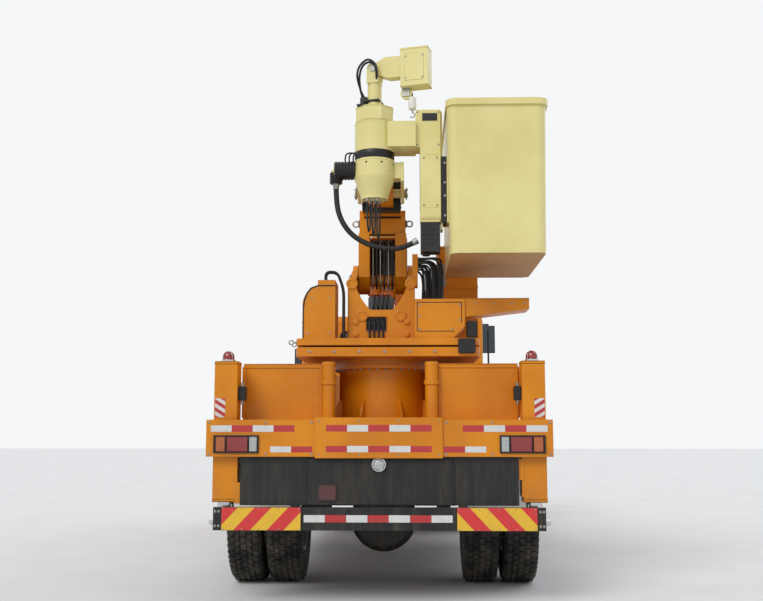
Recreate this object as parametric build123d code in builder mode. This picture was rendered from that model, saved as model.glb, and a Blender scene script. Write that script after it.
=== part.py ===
"""An articulated bucket truck: a two-axle cab-over chassis that carries a folding insulated boom.

Millimetres, +Z up, +Y towards the cab, +X to the truck's right. The origin is on the ground,
below the middle of the whole truck.
"""

from math import cos, radians, sin, tan
import os

from build123d import *

os.makedirs("parts", exist_ok=True)

# Sides of the truck, by name and by the sign of X
SIDES = (("left", -1), ("right", 1))

# Running clearances
pin_gap = 0.3
seat_gap = 0.3
moving_gap = 5.0

# Axles and wheels
front_axle_y = 1880.0
rear_axle_y = -2620.0
tyre_radius = 510.0
tyre_width = 278.0
rim_radius = 254.0
rim_wall = 14.0
rim_width = 232.0
rim_flange = 18.0
front_wheel_x = 985.0
rear_outer_x = 1091.0
rear_inner_x = 781.0
king_pin_x = 850.0
king_pin_radius = 22.0
axle_eye_radius = 50.0
axle_eye_height = 140.0
knuckle_ear = 40.0
spindle_radius = 45.0
rear_tube_radius = 62.0
diff_radius = 270.0
diff_depth = 250.0
hub_radius = 120.0
hand_holes = 8
hand_hole_radius = 24.0
hand_hole_ring = 192.0
rear_stub_x = 1075.0
spindle_end_x = 1090.0
knuckle_plate_x = (904.0, 930.0)

# Chassis rails and the beams on them
rail_outer = 430.0
rail_flange = 75.0
rail_thickness = 10.0
rail_bottom = 700.0
rail_top = 940.0
rail_rear_y = -3720.0
rail_front_y = 2950.0
cross_member_z = (790.0, 890.0)
cross_member_depth = 60.0
subframe_height = 120.0
subframe_width = 80.0

# Springs
spring_width = 76.0
leaf_thickness = 12.0
leaf_radius = 1900.0
front_leaves = 5
rear_leaves = 7
front_spring_reach = 650.0
rear_spring_reach = 680.0
front_spring_x = 392.0
rear_spring_x = 495.0
front_seat_z = 500.0
rear_seat_z = 590.0
spring_eye_radius = 24.0

# Engine, gearbox and propeller shaft
engine_half_width = 290.0
engine_y = (1150.0, 2300.0)
engine_z = (565.0, 1240.0)
gearbox_half_width = 190.0
gearbox_rear_y = 520.0
gearbox_z = (600.0, 960.0)
shaft_radius = 52.0
shaft_front_z = 690.0
shaft_rear_z = 560.0

# Cab
cab_half_width = 1105.0
cab_rear_y = 1080.0
cab_front_y = 3150.0
cab_floor_z = 1060.0
cab_roof_z = 2620.0
cab_skirt_z = 800.0
cab_skirt_y = 2560.0
cab_wall = 45.0
cab_floor_depth = 50.0
windscreen_foot = (3120.0, 1780.0)
windscreen_head = (2905.0, 2520.0)
tunnel_half_width = 385.0
tunnel_top_z = 1330.0
tunnel_wall = 30.0
door_rear_y = 1770.0
door_front_y = 2960.0
door_bottom_z = 1125.0
door_top_z = 2500.0
door_gap = 6.0
door_hinge_z = (1300.0, 1700.0)
door_hinge_y = 2969.0
door_hinge_radius = 3.8
glass_thickness = 6.0
glass_depth = 25.0
grille_depth = 38.0
grille_half_width = 820.0
grille_z = (1180.0, 1560.0)
rear_window = (1250.0, 480.0)
rear_window_z = 2180.0
driver_x = -560.0
seat_half_width = 250.0

# Bumper, lamps and mirrors
bumper_y = (3060.0, 3200.0)
bumper_z = (430.0, 795.0)
bumper_half_width = 1115.0
head_lamp_x = (740.0, 980.0)
head_lamp_z = (600.0, 740.0)
tail_lamp_x = (850.0, 1170.0)
tail_lamp_z = (1065.0, 1190.0)
tail_lamp_depth = 15.0
mirror_x = (1225.0, 1415.0)
mirror_y = 3055.0
mirror_half_depth = 35.0
left_mirror_z = (1990.0, 2374.0)
right_mirror_z = (2313.0, 2697.0)
mirror_stay_y = 3022.0
mirror_stay_z = (1905.0, 2060.0)
roof_stay_z = 2715.0
roof_stay_x = 1030.0
roof_stay_y = 2700.0
stay_radius = 13.0

# Deck and lockers
deck_half_width = 1225.0
deck_z = 1300.0
deck_plate = 18.0
deck_front_y = 540.0
deck_edge_z = 1040.0
deck_edge = 10.0
bearer_depth = 50.0
rear_face_y = -3990.0
tail_panel_depth = 40.0
locker_x = (430.0, 1020.0)
locker_y = (-3650.0, -1400.0)
locker_top_z = 1710.0
locker_wall = 15.0
locker_lip = 22.0
locker_door = 12.0
locker_hinge_z = 1312.0
locker_hinge_radius = 5.0
post_radius = 48.0
post_x = 380.0
post_y = -3690.0
post_top_z = 1715.0

# Tanks, guards and the rear bar
tank_y = (-950.0, 250.0)
tank_x = (560.0, 1120.0)
tank_z = (470.0, 930.0)
air_tank_radius = 125.0
air_tank_x = (700.0, 985.0)
air_tank_y = (-1650.0, -700.0)
air_tank_z = 735.0
battery_box_x = (600.0, 1120.0)
battery_box_y = (-430.0, 250.0)
battery_box_z = (540.0, 930.0)
guard_x = (1185.0, 1212.0)
guard_y = (-1980.0, 380.0)
guard_rail_z = (520.0, 690.0, 860.0)
guard_rail_height = 100.0
rear_bar_z = (530.0, 690.0)
rear_bar_half_width = 1165.0
rear_board_x = (545.0, 1105.0)

# Outriggers
rear_outrigger_y = -3830.0
front_outrigger_y = 660.0
rear_housing_z = 700.0
front_housing_z = 940.0
housing_half_width = 985.0
housing_depth = 200.0
housing_height = 340.0
housing_wall = 10.0
housing_divider = 14.0
leg_x = (1020.0, 1185.0)
leg_z = (720.0, 1720.0)
leg_wall = 10.0
beam_tail = 880.0
ram_radius = 60.0
ram_top_z = 1560.0
foot_radius = 120.0
foot_z = 560.0
foot_height = 34.0
leg_lamp_radius = 42.0
leg_lamp_height = 78.0

# Pedestal and turntable
slew_y = -3000.0
pedestal_radius = 347.0
pedestal_flange_radius = 390.0
pedestal_flange = 30.0
pedestal_top_z = 1730.0
ring_radius = 372.0
ring_top_z = 1774.0
turret_disc_radius = 395.0
turret_core_radius = 335.0
lower_plate_z = (1779.0, 1849.0)
platform_x = (-645.0, 752.0)
platform_y = (-3560.0, -2130.0)
platform_z = (1864.0, 1917.0)
platform_corner = 70.0
yoke_inner = 203.0
yoke_plate = 40.0
yoke_rear_y = -3340.0
yoke_flange = 54.0
yoke_flange_z = 2416.0
notch_z = (2156.0, 2350.0)
notch_half_width = 85.0
plate_slot_x = (-116.0, 39.0)
plate_slot_z = (1993.0, 2100.0)
valve_box_x = (258.0, 640.0)
valve_box_y = (-3520.0, -3190.0)
valve_box_top_z = 2220.0
valve_box_corner = 90.0
wing_x = 1131.0
wing_y = (-3500.0, -3260.0)
wing_low_z = (2082.0, 2142.0)
cover_x = (-600.0, -350.0)
cover_y = (-3500.0, -3170.0)
cover_step_x = -484.0
cover_side_z = 2150.0
cover_z = (2334.0, 2372.0)
oil_tank_x = (462.0, 799.0)
oil_tank_y = (-2640.0, -2150.0)
oil_tank_top_z = 2784.0

# Booms, in a frame at the foot pin that slopes up towards the cab
foot_pin_y = -2900.0
foot_pin_z = 2450.0
boom_slope = 2.5
foot_pin_radius = 45.0
lower_half_width = 195.0
lower_wall = 12.0
lower_v = (60.0, 380.0)
lower_rear_u = -150.0
lower_tube_u = 150.0
lower_front_gap = 300.0
foot_plate = 90.0
cradle_u = (-120.0, 20.0)
cradle_cheek = 36.0
boom_front_y = 4000.0
elbow_v = 540.0
link_radius = 185.0
elbow_pin_radius = 45.0
elbow_ear_radius = 170.0
elbow_ear = 30.0
upper_half_width = 155.0
upper_v = (510.0, 770.0)
upper_wall = 12.0
steel_end_u = 3000.0
insulator_half_width = 138.0
insulator_half_height = 110.0
insulator_wall = 16.0
insulator_end_u = -330.0
insulator_lap = 120.0
tip_u = -480.0
tip_pin_radius = 35.0
tip_hub_radius = 95.0
tip_hub_half_width = 95.0
sleeve_u = (-400.0, -150.0)
sleeve_grow = 14.0

# Lift cylinder
cylinder_pin_y = -2500.0
cylinder_pin_z = 2120.0
cylinder_pin_radius = 35.0
rod_eye_u = 1400.0
rod_eye_v = -70.0
barrel_radius = 85.0
rod_radius = 50.0
barrel_start = 70.0
barrel_end = 930.0
rod_tail = 130.0
eye_radius = 60.0
eye_half_width = 52.0

# Rotator, basket and jib
drum_x = -40.0
drum_back = 330.0
drum_radius = 150.0
drum_foot_radius = 96.0
drum_z = (2946.0, 3237.0)
drum_shoulder_z = 3092.0
tip_plate = 24.0
tip_eye_radius = 80.0
band_radius = 138.0
head_z = (3300.0, 3523.0)
swing_arm_z = (3317.0, 3511.0)
swing_arm_half_depth = 140.0
post_head_x = 270.0
post_head_z = (3321.0, 3609.0)
post_inner_x = 302.0
post_outer_x = 455.0
post_half_depth = 95.0
post_low_z = 2759.0
rail_low_z = 2700.0
motor_z = 2536.0
rail_depth = 15.0
rail_half_width = 60.0
carriage_half_width = 90.0
carriage_z = (2750.0, 3250.0)
basket_x = (500.0, 1229.0)
basket_y = (-3984.0, -2766.0)
basket_z = (2494.0, 3640.0)
basket_taper = 16.0
basket_wall = 28.0
basket_corner = 70.0
rim_x = (491.0, 1245.0)
rim_y = (-4000.0, -2750.0)
rim_height = 45.0
jib_yaw = -15.0
jib_base_top_z = 3640.0
jib_mast_radius = 54.0
jib_pin_z = 3950.0
jib_pin_radius = 16.0
jib_head_reach = (219.0, 433.0)
jib_head_half_width = 60.0
jib_head_drop = 165.0
jib_head_rise = 135.0
sheave_reach = 252.0
sheave_drop = 205.0
sheave_radius = 45.0

# Hoses
tip_hose_radius = 20.0
valve_hose_radius = 8.0
valve_hoses_count = 6
loop_hose_radius = 11.0
boot_end_x = -345.0
boot_z = 3168.0
boot_radius = 64.0
hose_start_z = 3069.0
hose_block_x = (242.0, 285.0)
hose_block_y = (-3330.0, -3245.0)
hose_block_z = (2340.0, 2600.0)


def slab(x, y, z, mode=Mode.ADD):
    """A block between the low and high value on each axis, in the open builder."""
    middle = ((x[0] + x[1]) / 2, (y[0] + y[1]) / 2, (z[0] + z[1]) / 2)
    with Locations(middle):
        return Box(x[1] - x[0], y[1] - y[0], z[1] - z[0], mode=mode)


def bar_x(radius, x, y, z, mode=Mode.ADD):
    """A round bar along X between two X values."""
    with Locations(((x[0] + x[1]) / 2, y, z)):
        return Cylinder(radius, x[1] - x[0], rotation=(0, 90, 0), mode=mode)


def bar_y(radius, x, y, z, mode=Mode.ADD):
    """A round bar along Y between two Y values."""
    with Locations((x, (y[0] + y[1]) / 2, z)):
        return Cylinder(radius, y[1] - y[0], rotation=(90, 0, 0), mode=mode)


def bar_z(radius, x, y, z, mode=Mode.ADD):
    """An upright round bar between two Z values."""
    with Locations((x, y, (z[0] + z[1]) / 2)):
        return Cylinder(radius, z[1] - z[0], mode=mode)


def span(sign, near, far):
    """The low and high X of a stretch that lies near to far from the middle on one side."""
    return (near, far) if sign > 0 else (-far, -near)


def boom_point(u, v):
    """Where a point of the boom frame lies, as its Y and Z."""
    slope = radians(boom_slope)
    y = foot_pin_y + u * cos(slope) - v * sin(slope)
    z = foot_pin_z + u * sin(slope) + v * cos(slope)
    return y, z


def boom_plane(x=0.0):
    """The boom's side view: local X runs along the boom, local Y up across it."""
    slope = radians(boom_slope)
    origin = (x, foot_pin_y, foot_pin_z)
    return Plane(origin=origin, x_dir=(0, cos(slope), sin(slope)), z_dir=(1, 0, 0))


# The elbow pin stands where the levelling wheel on it reaches the front of the truck
elbow_run_y = boom_front_y - link_radius - foot_pin_y
elbow_u = (elbow_run_y + elbow_v * sin(radians(boom_slope))) / cos(radians(boom_slope))
lower_u = (lower_rear_u, elbow_u - lower_front_gap)

# Chassis frame: channel rails, cross members, spring hangers and the beams that lift the deck
with BuildPart() as chassis_frame:
    for side, sign in SIDES:
        rail_x = span(sign, rail_outer - rail_flange, rail_outer)
        slab(rail_x, (rail_rear_y, rail_front_y), (rail_bottom, rail_top))
        slab(
            span(sign, rail_outer - rail_flange, rail_outer - rail_thickness),
            (rail_rear_y, rail_front_y),
            (rail_bottom + rail_thickness, rail_top - rail_thickness),
            mode=Mode.SUBTRACT,
        )
        slab(
            span(sign, rail_outer - subframe_width, rail_outer),
            (rail_rear_y, deck_front_y),
            (rail_top, rail_top + subframe_height),
        )
        for axle_y, reach, x, seat, count in (
            (front_axle_y, front_spring_reach, front_spring_x, front_seat_z, front_leaves),
            (rear_axle_y, rear_spring_reach, rear_spring_x, rear_seat_z, rear_leaves),
        ):
            eye_z = seat + count * leaf_thickness + reach**2 / (2 * leaf_radius)
            for end in (-1, 1):
                near = axle_y + end * (reach + spring_eye_radius + seat_gap)
                y = sorted((near, near + end * 55.0))
                inner = min(x - spring_width / 2, rail_outer - 1)
                slab(span(sign, inner, x + spring_width / 2), y, (eye_z - 45.0, rail_bottom + 90.0))
    for y in (-3680.0, -3350.0, -2100.0, -1100.0, -100.0, 2880.0):
        half = rail_outer - rail_thickness
        slab((-half, half), (y - cross_member_depth / 2, y + cross_member_depth / 2), cross_member_z)

    # Rear cab mounts on the rails
    for side, sign in SIDES:
        mount_x = span(sign, rail_outer - 90, rail_outer)
        slab(mount_x, (cab_rear_y + 20, cab_rear_y + 100), (rail_top, cab_floor_z))

    # The outrigger boxes: each holds two beams, one above the other
    for centre_y, low_z in ((rear_outrigger_y, rear_housing_z), (front_outrigger_y, front_housing_z)):
        y = (centre_y - housing_depth / 2, centre_y + housing_depth / 2)
        slab((-housing_half_width, housing_half_width), y, (low_z, low_z + housing_height))
        channel = (housing_height - 2 * housing_wall - housing_divider) / 2
        for level in (0, 1):
            z0 = low_z + housing_wall + level * (channel + housing_divider)
            inner = (y[0] + housing_wall, y[1] - housing_wall)
            reach = housing_half_width
            slab((-reach, reach), inner, (z0, z0 + channel), mode=Mode.SUBTRACT)
    slab(
        (-rail_outer, rail_outer),
        (rear_outrigger_y + housing_depth / 2, rail_rear_y),
        (rail_bottom, rail_top + subframe_height),
    )
chassis_frame.part.label = "chassis_frame"
export_step(chassis_frame.part, "parts/chassis_frame.step")


def leaf_pack(sign, axle_y, x, seat_z, count, reach):
    """A pack of leaves, the longest on top with a rolled eye at each end."""
    centre_z = seat_z + leaf_radius
    with BuildPart() as pack:
        for k in range(count):
            outer = leaf_radius - k * leaf_thickness
            share = 1.0 - 0.16 * (count - 1 - k) * 5 / count
            with BuildSketch(Plane.YZ.offset(sign * x - spring_width / 2)):
                with Locations((axle_y, centre_z)):
                    Circle(outer)
                    Circle(outer - leaf_thickness, mode=Mode.SUBTRACT)
                with Locations((axle_y, seat_z + 200.0)):
                    Rectangle(2 * reach * share, 500.0, mode=Mode.INTERSECT)
            extrude(amount=spring_width)
        eye_z = seat_z + count * leaf_thickness + reach**2 / (2 * leaf_radius) - spring_eye_radius / 2
        for end in (-1, 1):
            ends = (sign * x - spring_width / 2, sign * x + spring_width / 2)
            bar_x(spring_eye_radius, ends, axle_y + end * reach, eye_z)
        half = spring_width / 2
        top = seat_z + count * leaf_thickness
        slab((sign * x - half, sign * x + half), (axle_y - 60.0, axle_y + 60.0), (top - 2.0, top + 20.0))
    return pack.part


# Leaf springs: under the rails in front, outside them behind
with BuildPart() as leaf_springs:
    for side, sign in SIDES:
        add(leaf_pack(sign, front_axle_y, front_spring_x, front_seat_z, front_leaves, front_spring_reach))
        add(leaf_pack(sign, rear_axle_y, rear_spring_x, rear_seat_z, rear_leaves, rear_spring_reach))
leaf_springs.part.label = "leaf_springs"
export_step(leaf_springs.part, "parts/leaf_springs.step")


# Front axle: a dropped beam with an eye for each king pin
with BuildPart() as front_axle:
    with BuildSketch(Plane.XZ.offset(-front_axle_y - 45.0)):
        with BuildLine():
            top = [(0, 478), (330, 478), (345, 500), (440, 500), (560, 505), (770, 560), (king_pin_x, 560)]
            bottom = [(king_pin_x, 460), (780, 452), (500, 392), (0, 392)]
            right_half = top + bottom
            left_half = [(-x, z) for x, z in reversed(right_half) if x > 0]
            Polyline(*(right_half + left_half), close=True)
        make_face()
    extrude(amount=90.0)
    for side, sign in SIDES:
        eye_z = (tyre_radius - axle_eye_height / 2, tyre_radius + axle_eye_height / 2)
        bar_z(axle_eye_radius, sign * king_pin_x, front_axle_y, eye_z)
        bar_z(king_pin_radius + pin_gap, sign * king_pin_x, front_axle_y, (0, 900), mode=Mode.SUBTRACT)
front_axle.part.label = "front_axle"
export_step(front_axle.part, "parts/front_axle.step")


# Rear axle: tubes, the bowl of the final drive and spring seats
with BuildPart() as rear_axle:
    bar_x(rear_tube_radius, (-rear_stub_x, rear_stub_x), rear_axle_y, tyre_radius)
    bar_y(diff_radius, 0, (rear_axle_y - diff_depth / 2, rear_axle_y + diff_depth / 2), tyre_radius)
    circles = rear_axle.edges().filter_by(GeomType.CIRCLE)
    fillet(circles.filter_by(lambda e: abs(e.radius - diff_radius) < 1), 55.0)
    bar_y(95.0, 0, (rear_axle_y + diff_depth / 2 - 5, rear_axle_y + diff_depth / 2 + 110), shaft_rear_z)
    for side, sign in SIDES:
        half = spring_width / 2
        x = span(sign, rear_spring_x - half - 4, rear_spring_x + half + 4)
        slab(x, (rear_axle_y - 70, rear_axle_y + 70), (tyre_radius + 20, rear_seat_z))
rear_axle.part.label = "rear_axle"
export_step(rear_axle.part, "parts/rear_axle.step")


# Engine block on its mounts, gearbox and propeller shaft
shaft_end_y = rear_axle_y + diff_depth / 2 + 110
with BuildPart() as driveline:
    slab((-engine_half_width, engine_half_width), engine_y, engine_z)
    fillet(driveline.edges().filter_by(Axis.Y), 60.0)
    for y in (1320.0, 2170.0):
        for side, sign in SIDES:
            slab(span(sign, engine_half_width - 5, rail_outer - rail_thickness), (y - 50, y + 50), (730, 780))
    with BuildSketch(Plane.XZ.offset(-engine_y[0])):
        with Locations((0, (gearbox_z[0] + gearbox_z[1]) / 2)):
            Rectangle(2 * gearbox_half_width, gearbox_z[1] - gearbox_z[0])
    with BuildSketch(Plane.XZ.offset(-gearbox_rear_y)):
        with Locations((0, shaft_front_z)):
            Circle(95.0)
    loft()
    start = Vector(0, gearbox_rear_y + 2, shaft_front_z)
    end = Vector(0, shaft_end_y + 3.0, shaft_rear_z)
    with BuildSketch(Plane(origin=start, z_dir=end - start)):
        Circle(shaft_radius)
    extrude(amount=(end - start).length)
driveline.part.label = "driveline"
export_step(driveline.part, "parts/driveline.step")


def wheel_plane(sign, x, y):
    """A wheel's section plane: local X points outward along the axle, local Y up."""
    return Plane(origin=(sign * x, y, tyre_radius), x_dir=(sign, 0, 0), z_dir=(0, -sign, 0))


def tyre_ring(sign, x, y):
    """One tyre, revolved from its section: bead, bulged wall, shoulder and tread."""
    half = tyre_width / 2
    bead = rim_width / 2
    inner = rim_radius + seat_gap
    with BuildPart() as ring:
        with BuildSketch(wheel_plane(sign, x, y)):
            with BuildLine():
                outward = [(bead, inner), (bead, inner + 30), (half - 6, inner + 85), (half, inner + 135)]
                outward += [(half - 12, tyre_radius - 34), (half - 34, tyre_radius - 6)]
                inward = [(-across, up) for across, up in reversed(outward)]
                Polyline(*(outward + [(0, tyre_radius)] + inward), close=True)
            make_face()
        revolve(axis=Axis((sign * x, y, tyre_radius), (1, 0, 0)))
    return ring.part


def disc_wheel(sign, x, y, disc_at, hub_from, hub_to, bore):
    """A steel disc wheel with its hub. Distances run outward from the middle of the rim."""
    bead = rim_width / 2
    barrel = rim_radius - rim_wall
    with BuildPart() as wheel:
        with BuildSketch(wheel_plane(sign, x, y)):
            with BuildLine():
                Polyline(
                    (-bead - 9, rim_radius + rim_flange),
                    (-bead, rim_radius + rim_flange),
                    (-bead, rim_radius),
                    (bead, rim_radius),
                    (bead, rim_radius + rim_flange),
                    (bead + 9, rim_radius + rim_flange),
                    (bead + 9, barrel),
                    (-bead - 9, barrel),
                    close=True,
                )
            make_face()
            with BuildLine():
                Polyline(
                    (disc_at[0], barrel + 2),
                    (disc_at[0] + 14, barrel + 2),
                    (disc_at[1] + 12, hub_radius + 32),
                    (disc_at[1] + 12, hub_radius - 6),
                    (disc_at[1], hub_radius - 6),
                    (disc_at[1], hub_radius + 28),
                    close=True,
                )
            make_face()
            with BuildLine():
                Polyline(
                    (hub_from, bore),
                    (hub_from, hub_radius - 25),
                    (disc_at[1] + 2, hub_radius),
                    (disc_at[1] + 16, hub_radius),
                    (disc_at[1] + 16, 82),
                    (hub_to, 74),
                    (hub_to, 0),
                    (hub_to - 14, 0),
                    (hub_to - 14, bore),
                    close=True,
                )
            make_face()
        revolve(axis=Axis((sign * x, y, tyre_radius), (1, 0, 0)))
    return wheel.part


for side, sign in SIDES:
    with BuildPart() as front_tyre:
        add(tyre_ring(sign, front_wheel_x, front_axle_y))
    front_tyre.part.label = f"front_tyre_{side}"
    export_step(front_tyre.part, f"parts/front_tyre_{side}.step")

    with BuildPart() as front_rim:
        add(disc_wheel(sign, front_wheel_x, front_axle_y, (28, 62), -45.0, 128.0, spindle_radius + pin_gap))
        rim_face = Plane(origin=(sign * front_wheel_x, front_axle_y, tyre_radius), z_dir=(sign, 0, 0))
        with BuildSketch(rim_face):
            with PolarLocations(hand_hole_ring, hand_holes):
                Circle(hand_hole_radius)
        extrude(amount=100, mode=Mode.SUBTRACT)
    front_rim.part.label = f"front_rim_{side}"
    export_step(front_rim.part, f"parts/front_rim_{side}.step")

    with BuildPart() as rear_tyres:
        add(tyre_ring(sign, rear_outer_x, rear_axle_y))
        add(tyre_ring(sign, rear_inner_x, rear_axle_y))
    rear_tyres.part.label = f"rear_tyres_{side}"
    export_step(rear_tyres.part, f"parts/rear_tyres_{side}.step")

    apart = rear_outer_x - rear_inner_x
    with BuildPart() as rear_rims:
        bore = rear_tube_radius + pin_gap
        add(disc_wheel(sign, rear_outer_x, rear_axle_y, (-80, -135), -apart - 60.0, 62.0, bore))
        inner_disc = (80, apart - 148)
        add(disc_wheel(sign, rear_inner_x, rear_axle_y, inner_disc, apart - 190.0, apart - 60.0, bore))
        rim_face = Plane(origin=(sign * rear_outer_x, rear_axle_y, tyre_radius), z_dir=(sign, 0, 0))
        with BuildSketch(rim_face):
            with PolarLocations(hand_hole_ring, hand_holes):
                Circle(hand_hole_radius)
        extrude(amount=-240, mode=Mode.SUBTRACT)
        bar_x(bore, span(sign, 0, rear_stub_x + 1), rear_axle_y, tyre_radius, mode=Mode.SUBTRACT)
    rear_rims.part.label = f"rear_rims_{side}"
    export_step(rear_rims.part, f"parts/rear_rims_{side}.step")

    # Steering knuckle: two ears on the king pin, a back plate and the spindle
    with BuildPart() as knuckle:
        ear_x = span(sign, king_pin_x, knuckle_plate_x[1] - 2)
        low = tyre_radius - axle_eye_height / 2 - 2 * seat_gap
        high = tyre_radius + axle_eye_height / 2 + 2 * seat_gap
        for z in ((low - knuckle_ear, low), (high, high + knuckle_ear)):
            bar_z(axle_eye_radius, sign * king_pin_x, front_axle_y, z)
            slab(ear_x, (front_axle_y - axle_eye_radius, front_axle_y + axle_eye_radius), z)
        y = (front_axle_y - 62, front_axle_y + 62)
        slab(span(sign, *knuckle_plate_x), y, (low - knuckle_ear, high + knuckle_ear))
        bar_z(king_pin_radius, sign * king_pin_x, front_axle_y, (low - knuckle_ear, high + knuckle_ear))
        bar_x(spindle_radius, span(sign, knuckle_plate_x[1] - 5, spindle_end_x), front_axle_y, tyre_radius)
    knuckle.part.label = f"knuckle_{side}"
    export_step(knuckle.part, f"parts/knuckle_{side}.step")


def cab_outline(inset=0.0, floor=None):
    """The cab's side profile as a face: flat floor, upright back, raked windscreen."""
    low = cab_floor_z if floor is None else floor
    with BuildSketch() as outline:
        with BuildLine():
            if floor is None:
                base = [(cab_rear_y, low), (cab_skirt_y, low)]
                base += [(cab_skirt_y + 60, cab_skirt_z), (cab_front_y, cab_skirt_z)]
            else:
                base = [(cab_rear_y, low - inset), (cab_front_y, low - inset)]
            nose = [(cab_front_y, windscreen_foot[1] - 70), windscreen_foot, windscreen_head]
            roof = [(windscreen_head[0] - 150, cab_roof_z), (cab_rear_y, cab_roof_z)]
            Polyline(*(base + nose + roof), close=True)
        make_face()
        fillet(outline.vertices().filter_by(lambda v: v.Y > windscreen_head[1] - 5), 70.0)
        if inset:
            offset(amount=-inset, kind=Kind.INTERSECTION, mode=Mode.REPLACE)
    return outline.sketch


def door_outline(grow=0.0):
    """The door's outline: its front edge runs up the screen pillar."""
    rake = (windscreen_foot[0] - windscreen_head[0]) / (windscreen_head[1] - windscreen_foot[1])
    top_y = door_front_y - 15 - rake * (door_top_z - windscreen_foot[1])
    with BuildSketch() as outline:
        with BuildLine():
            Polyline(
                (door_rear_y, door_bottom_z + 330),
                (door_rear_y, door_top_z),
                (top_y, door_top_z),
                (door_front_y, windscreen_foot[1]),
                (door_front_y, door_bottom_z),
                (door_rear_y + 420, door_bottom_z),
                close=True,
            )
        make_face()
        if grow:
            offset(amount=grow, kind=Kind.INTERSECTION, mode=Mode.REPLACE)
    return outline.sketch


def window_outline(shrink=0.0):
    """The side window inside the door's frame."""
    rake = (windscreen_foot[0] - windscreen_head[0]) / (windscreen_head[1] - windscreen_foot[1])
    frame = 75.0
    low = windscreen_foot[1] + 20
    high = door_top_z - frame
    front_low = door_front_y - frame - 25
    with BuildSketch() as outline:
        with BuildLine():
            Polyline(
                (door_rear_y + frame, low),
                (door_rear_y + frame, high),
                (front_low - rake * (high - low), high),
                (front_low, low),
                close=True,
            )
        make_face()
        fillet(outline.vertices(), 35.0)
        if shrink:
            offset(amount=-shrink, mode=Mode.REPLACE)
    return outline.sketch


# Windscreen and rear window planes
screen_run = Vector(0, windscreen_head[0] - windscreen_foot[0], windscreen_head[1] - windscreen_foot[1])
screen_mid = ((windscreen_head[0] + windscreen_foot[0]) / 2, (windscreen_head[1] + windscreen_foot[1]) / 2)
screen_out = Vector(1, 0, 0).cross(screen_run)
screen_plane = Plane(origin=(0, screen_mid[0], screen_mid[1]), x_dir=(1, 0, 0), z_dir=screen_out)
screen_size = (2 * cab_half_width - 190.0, screen_run.length - 80.0)

# Cab shell: hollow, split from the doors where the real panels meet
with BuildPart() as cab_shell:
    with BuildSketch(Plane.YZ):
        add(cab_outline())
    extrude(amount=cab_half_width, both=True)
    upright = cab_shell.edges().filter_by(Axis.Z).filter_by(lambda e: abs(e.center().Y - cab_rear_y) < 1)
    fillet(upright, 40.0)
    with BuildSketch(Plane.YZ):
        add(cab_outline(cab_wall, cab_floor_z + cab_floor_depth))
    extrude(amount=cab_half_width - cab_wall, both=True, mode=Mode.SUBTRACT)

    # The tunnel over the engine
    tunnel_y = (cab_rear_y, 2430.0)
    slab((-tunnel_half_width, tunnel_half_width), tunnel_y, (cab_floor_z, tunnel_top_z))
    inner = tunnel_half_width - tunnel_wall
    inner_y = (tunnel_y[0] - 1, tunnel_y[1] - tunnel_wall)
    slab((-inner, inner), inner_y, (cab_floor_z - 1, tunnel_top_z - tunnel_wall), mode=Mode.SUBTRACT)

    # Openings for the screens and doors
    with BuildSketch(screen_plane):
        RectangleRounded(screen_size[0], screen_size[1], 60.0)
    extrude(amount=120.0, both=True, mode=Mode.SUBTRACT)
    with BuildSketch(Plane.XZ.offset(-cab_rear_y)):
        with Locations((0, rear_window_z)):
            RectangleRounded(rear_window[0], rear_window[1], 60.0)
    extrude(amount=cab_wall + 5, both=True, mode=Mode.SUBTRACT)
    for side, sign in SIDES:
        with BuildSketch(Plane.YZ.offset(sign * (cab_half_width + 5))):
            add(door_outline(door_gap))
        extrude(amount=-sign * (cab_wall + 10), mode=Mode.SUBTRACT)

    # The recess for the steps ahead of each wheel
    step_y = (cab_skirt_y + 110, cab_front_y - 200)
    for side, sign in SIDES:
        for z in ((cab_skirt_z + 50, 905.0), (940.0, 1045.0)):
            slab(span(sign, cab_half_width - 170, cab_half_width + 5), step_y, z, mode=Mode.SUBTRACT)

    # The grille opening in the nose
    grille_x = (-grille_half_width, grille_half_width)
    slab(grille_x, (cab_front_y - grille_depth, cab_front_y + 5), grille_z, mode=Mode.SUBTRACT)

    # The space in the nose for the ends of the rails
    well = rail_outer + 20
    well_y = (cab_skirt_y - 1, rail_front_y + 10)
    slab((-well, well), well_y, (cab_skirt_z - 1, rail_top + 15), mode=Mode.SUBTRACT)
    # Pads that rest on the rails in front
    for side, sign in SIDES:
        pad_x = span(sign, rail_outer - 65, rail_outer - 5)
        slab(pad_x, (cab_skirt_y + 150, cab_skirt_y + 250), (rail_top, rail_top + 16))
cab_shell.part.label = "cab_shell"
export_step(cab_shell.part, "parts/cab_shell.step")

# Fixed glass: windscreen and rear window, each just inside its opening
with BuildPart() as cab_glass:
    with BuildSketch(screen_plane.offset(glass_depth)):
        RectangleRounded(screen_size[0] - 2 * seat_gap, screen_size[1] - 2 * seat_gap, 60.0)
    extrude(amount=glass_thickness)
    with BuildSketch(Plane.XZ.offset(-cab_rear_y - glass_depth)):
        with Locations((0, rear_window_z)):
            RectangleRounded(rear_window[0] - 2 * seat_gap, rear_window[1] - 2 * seat_gap, 60.0)
    extrude(amount=glass_thickness)
cab_glass.part.label = "cab_glass"
export_step(cab_glass.part, "parts/cab_glass.step")

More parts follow.
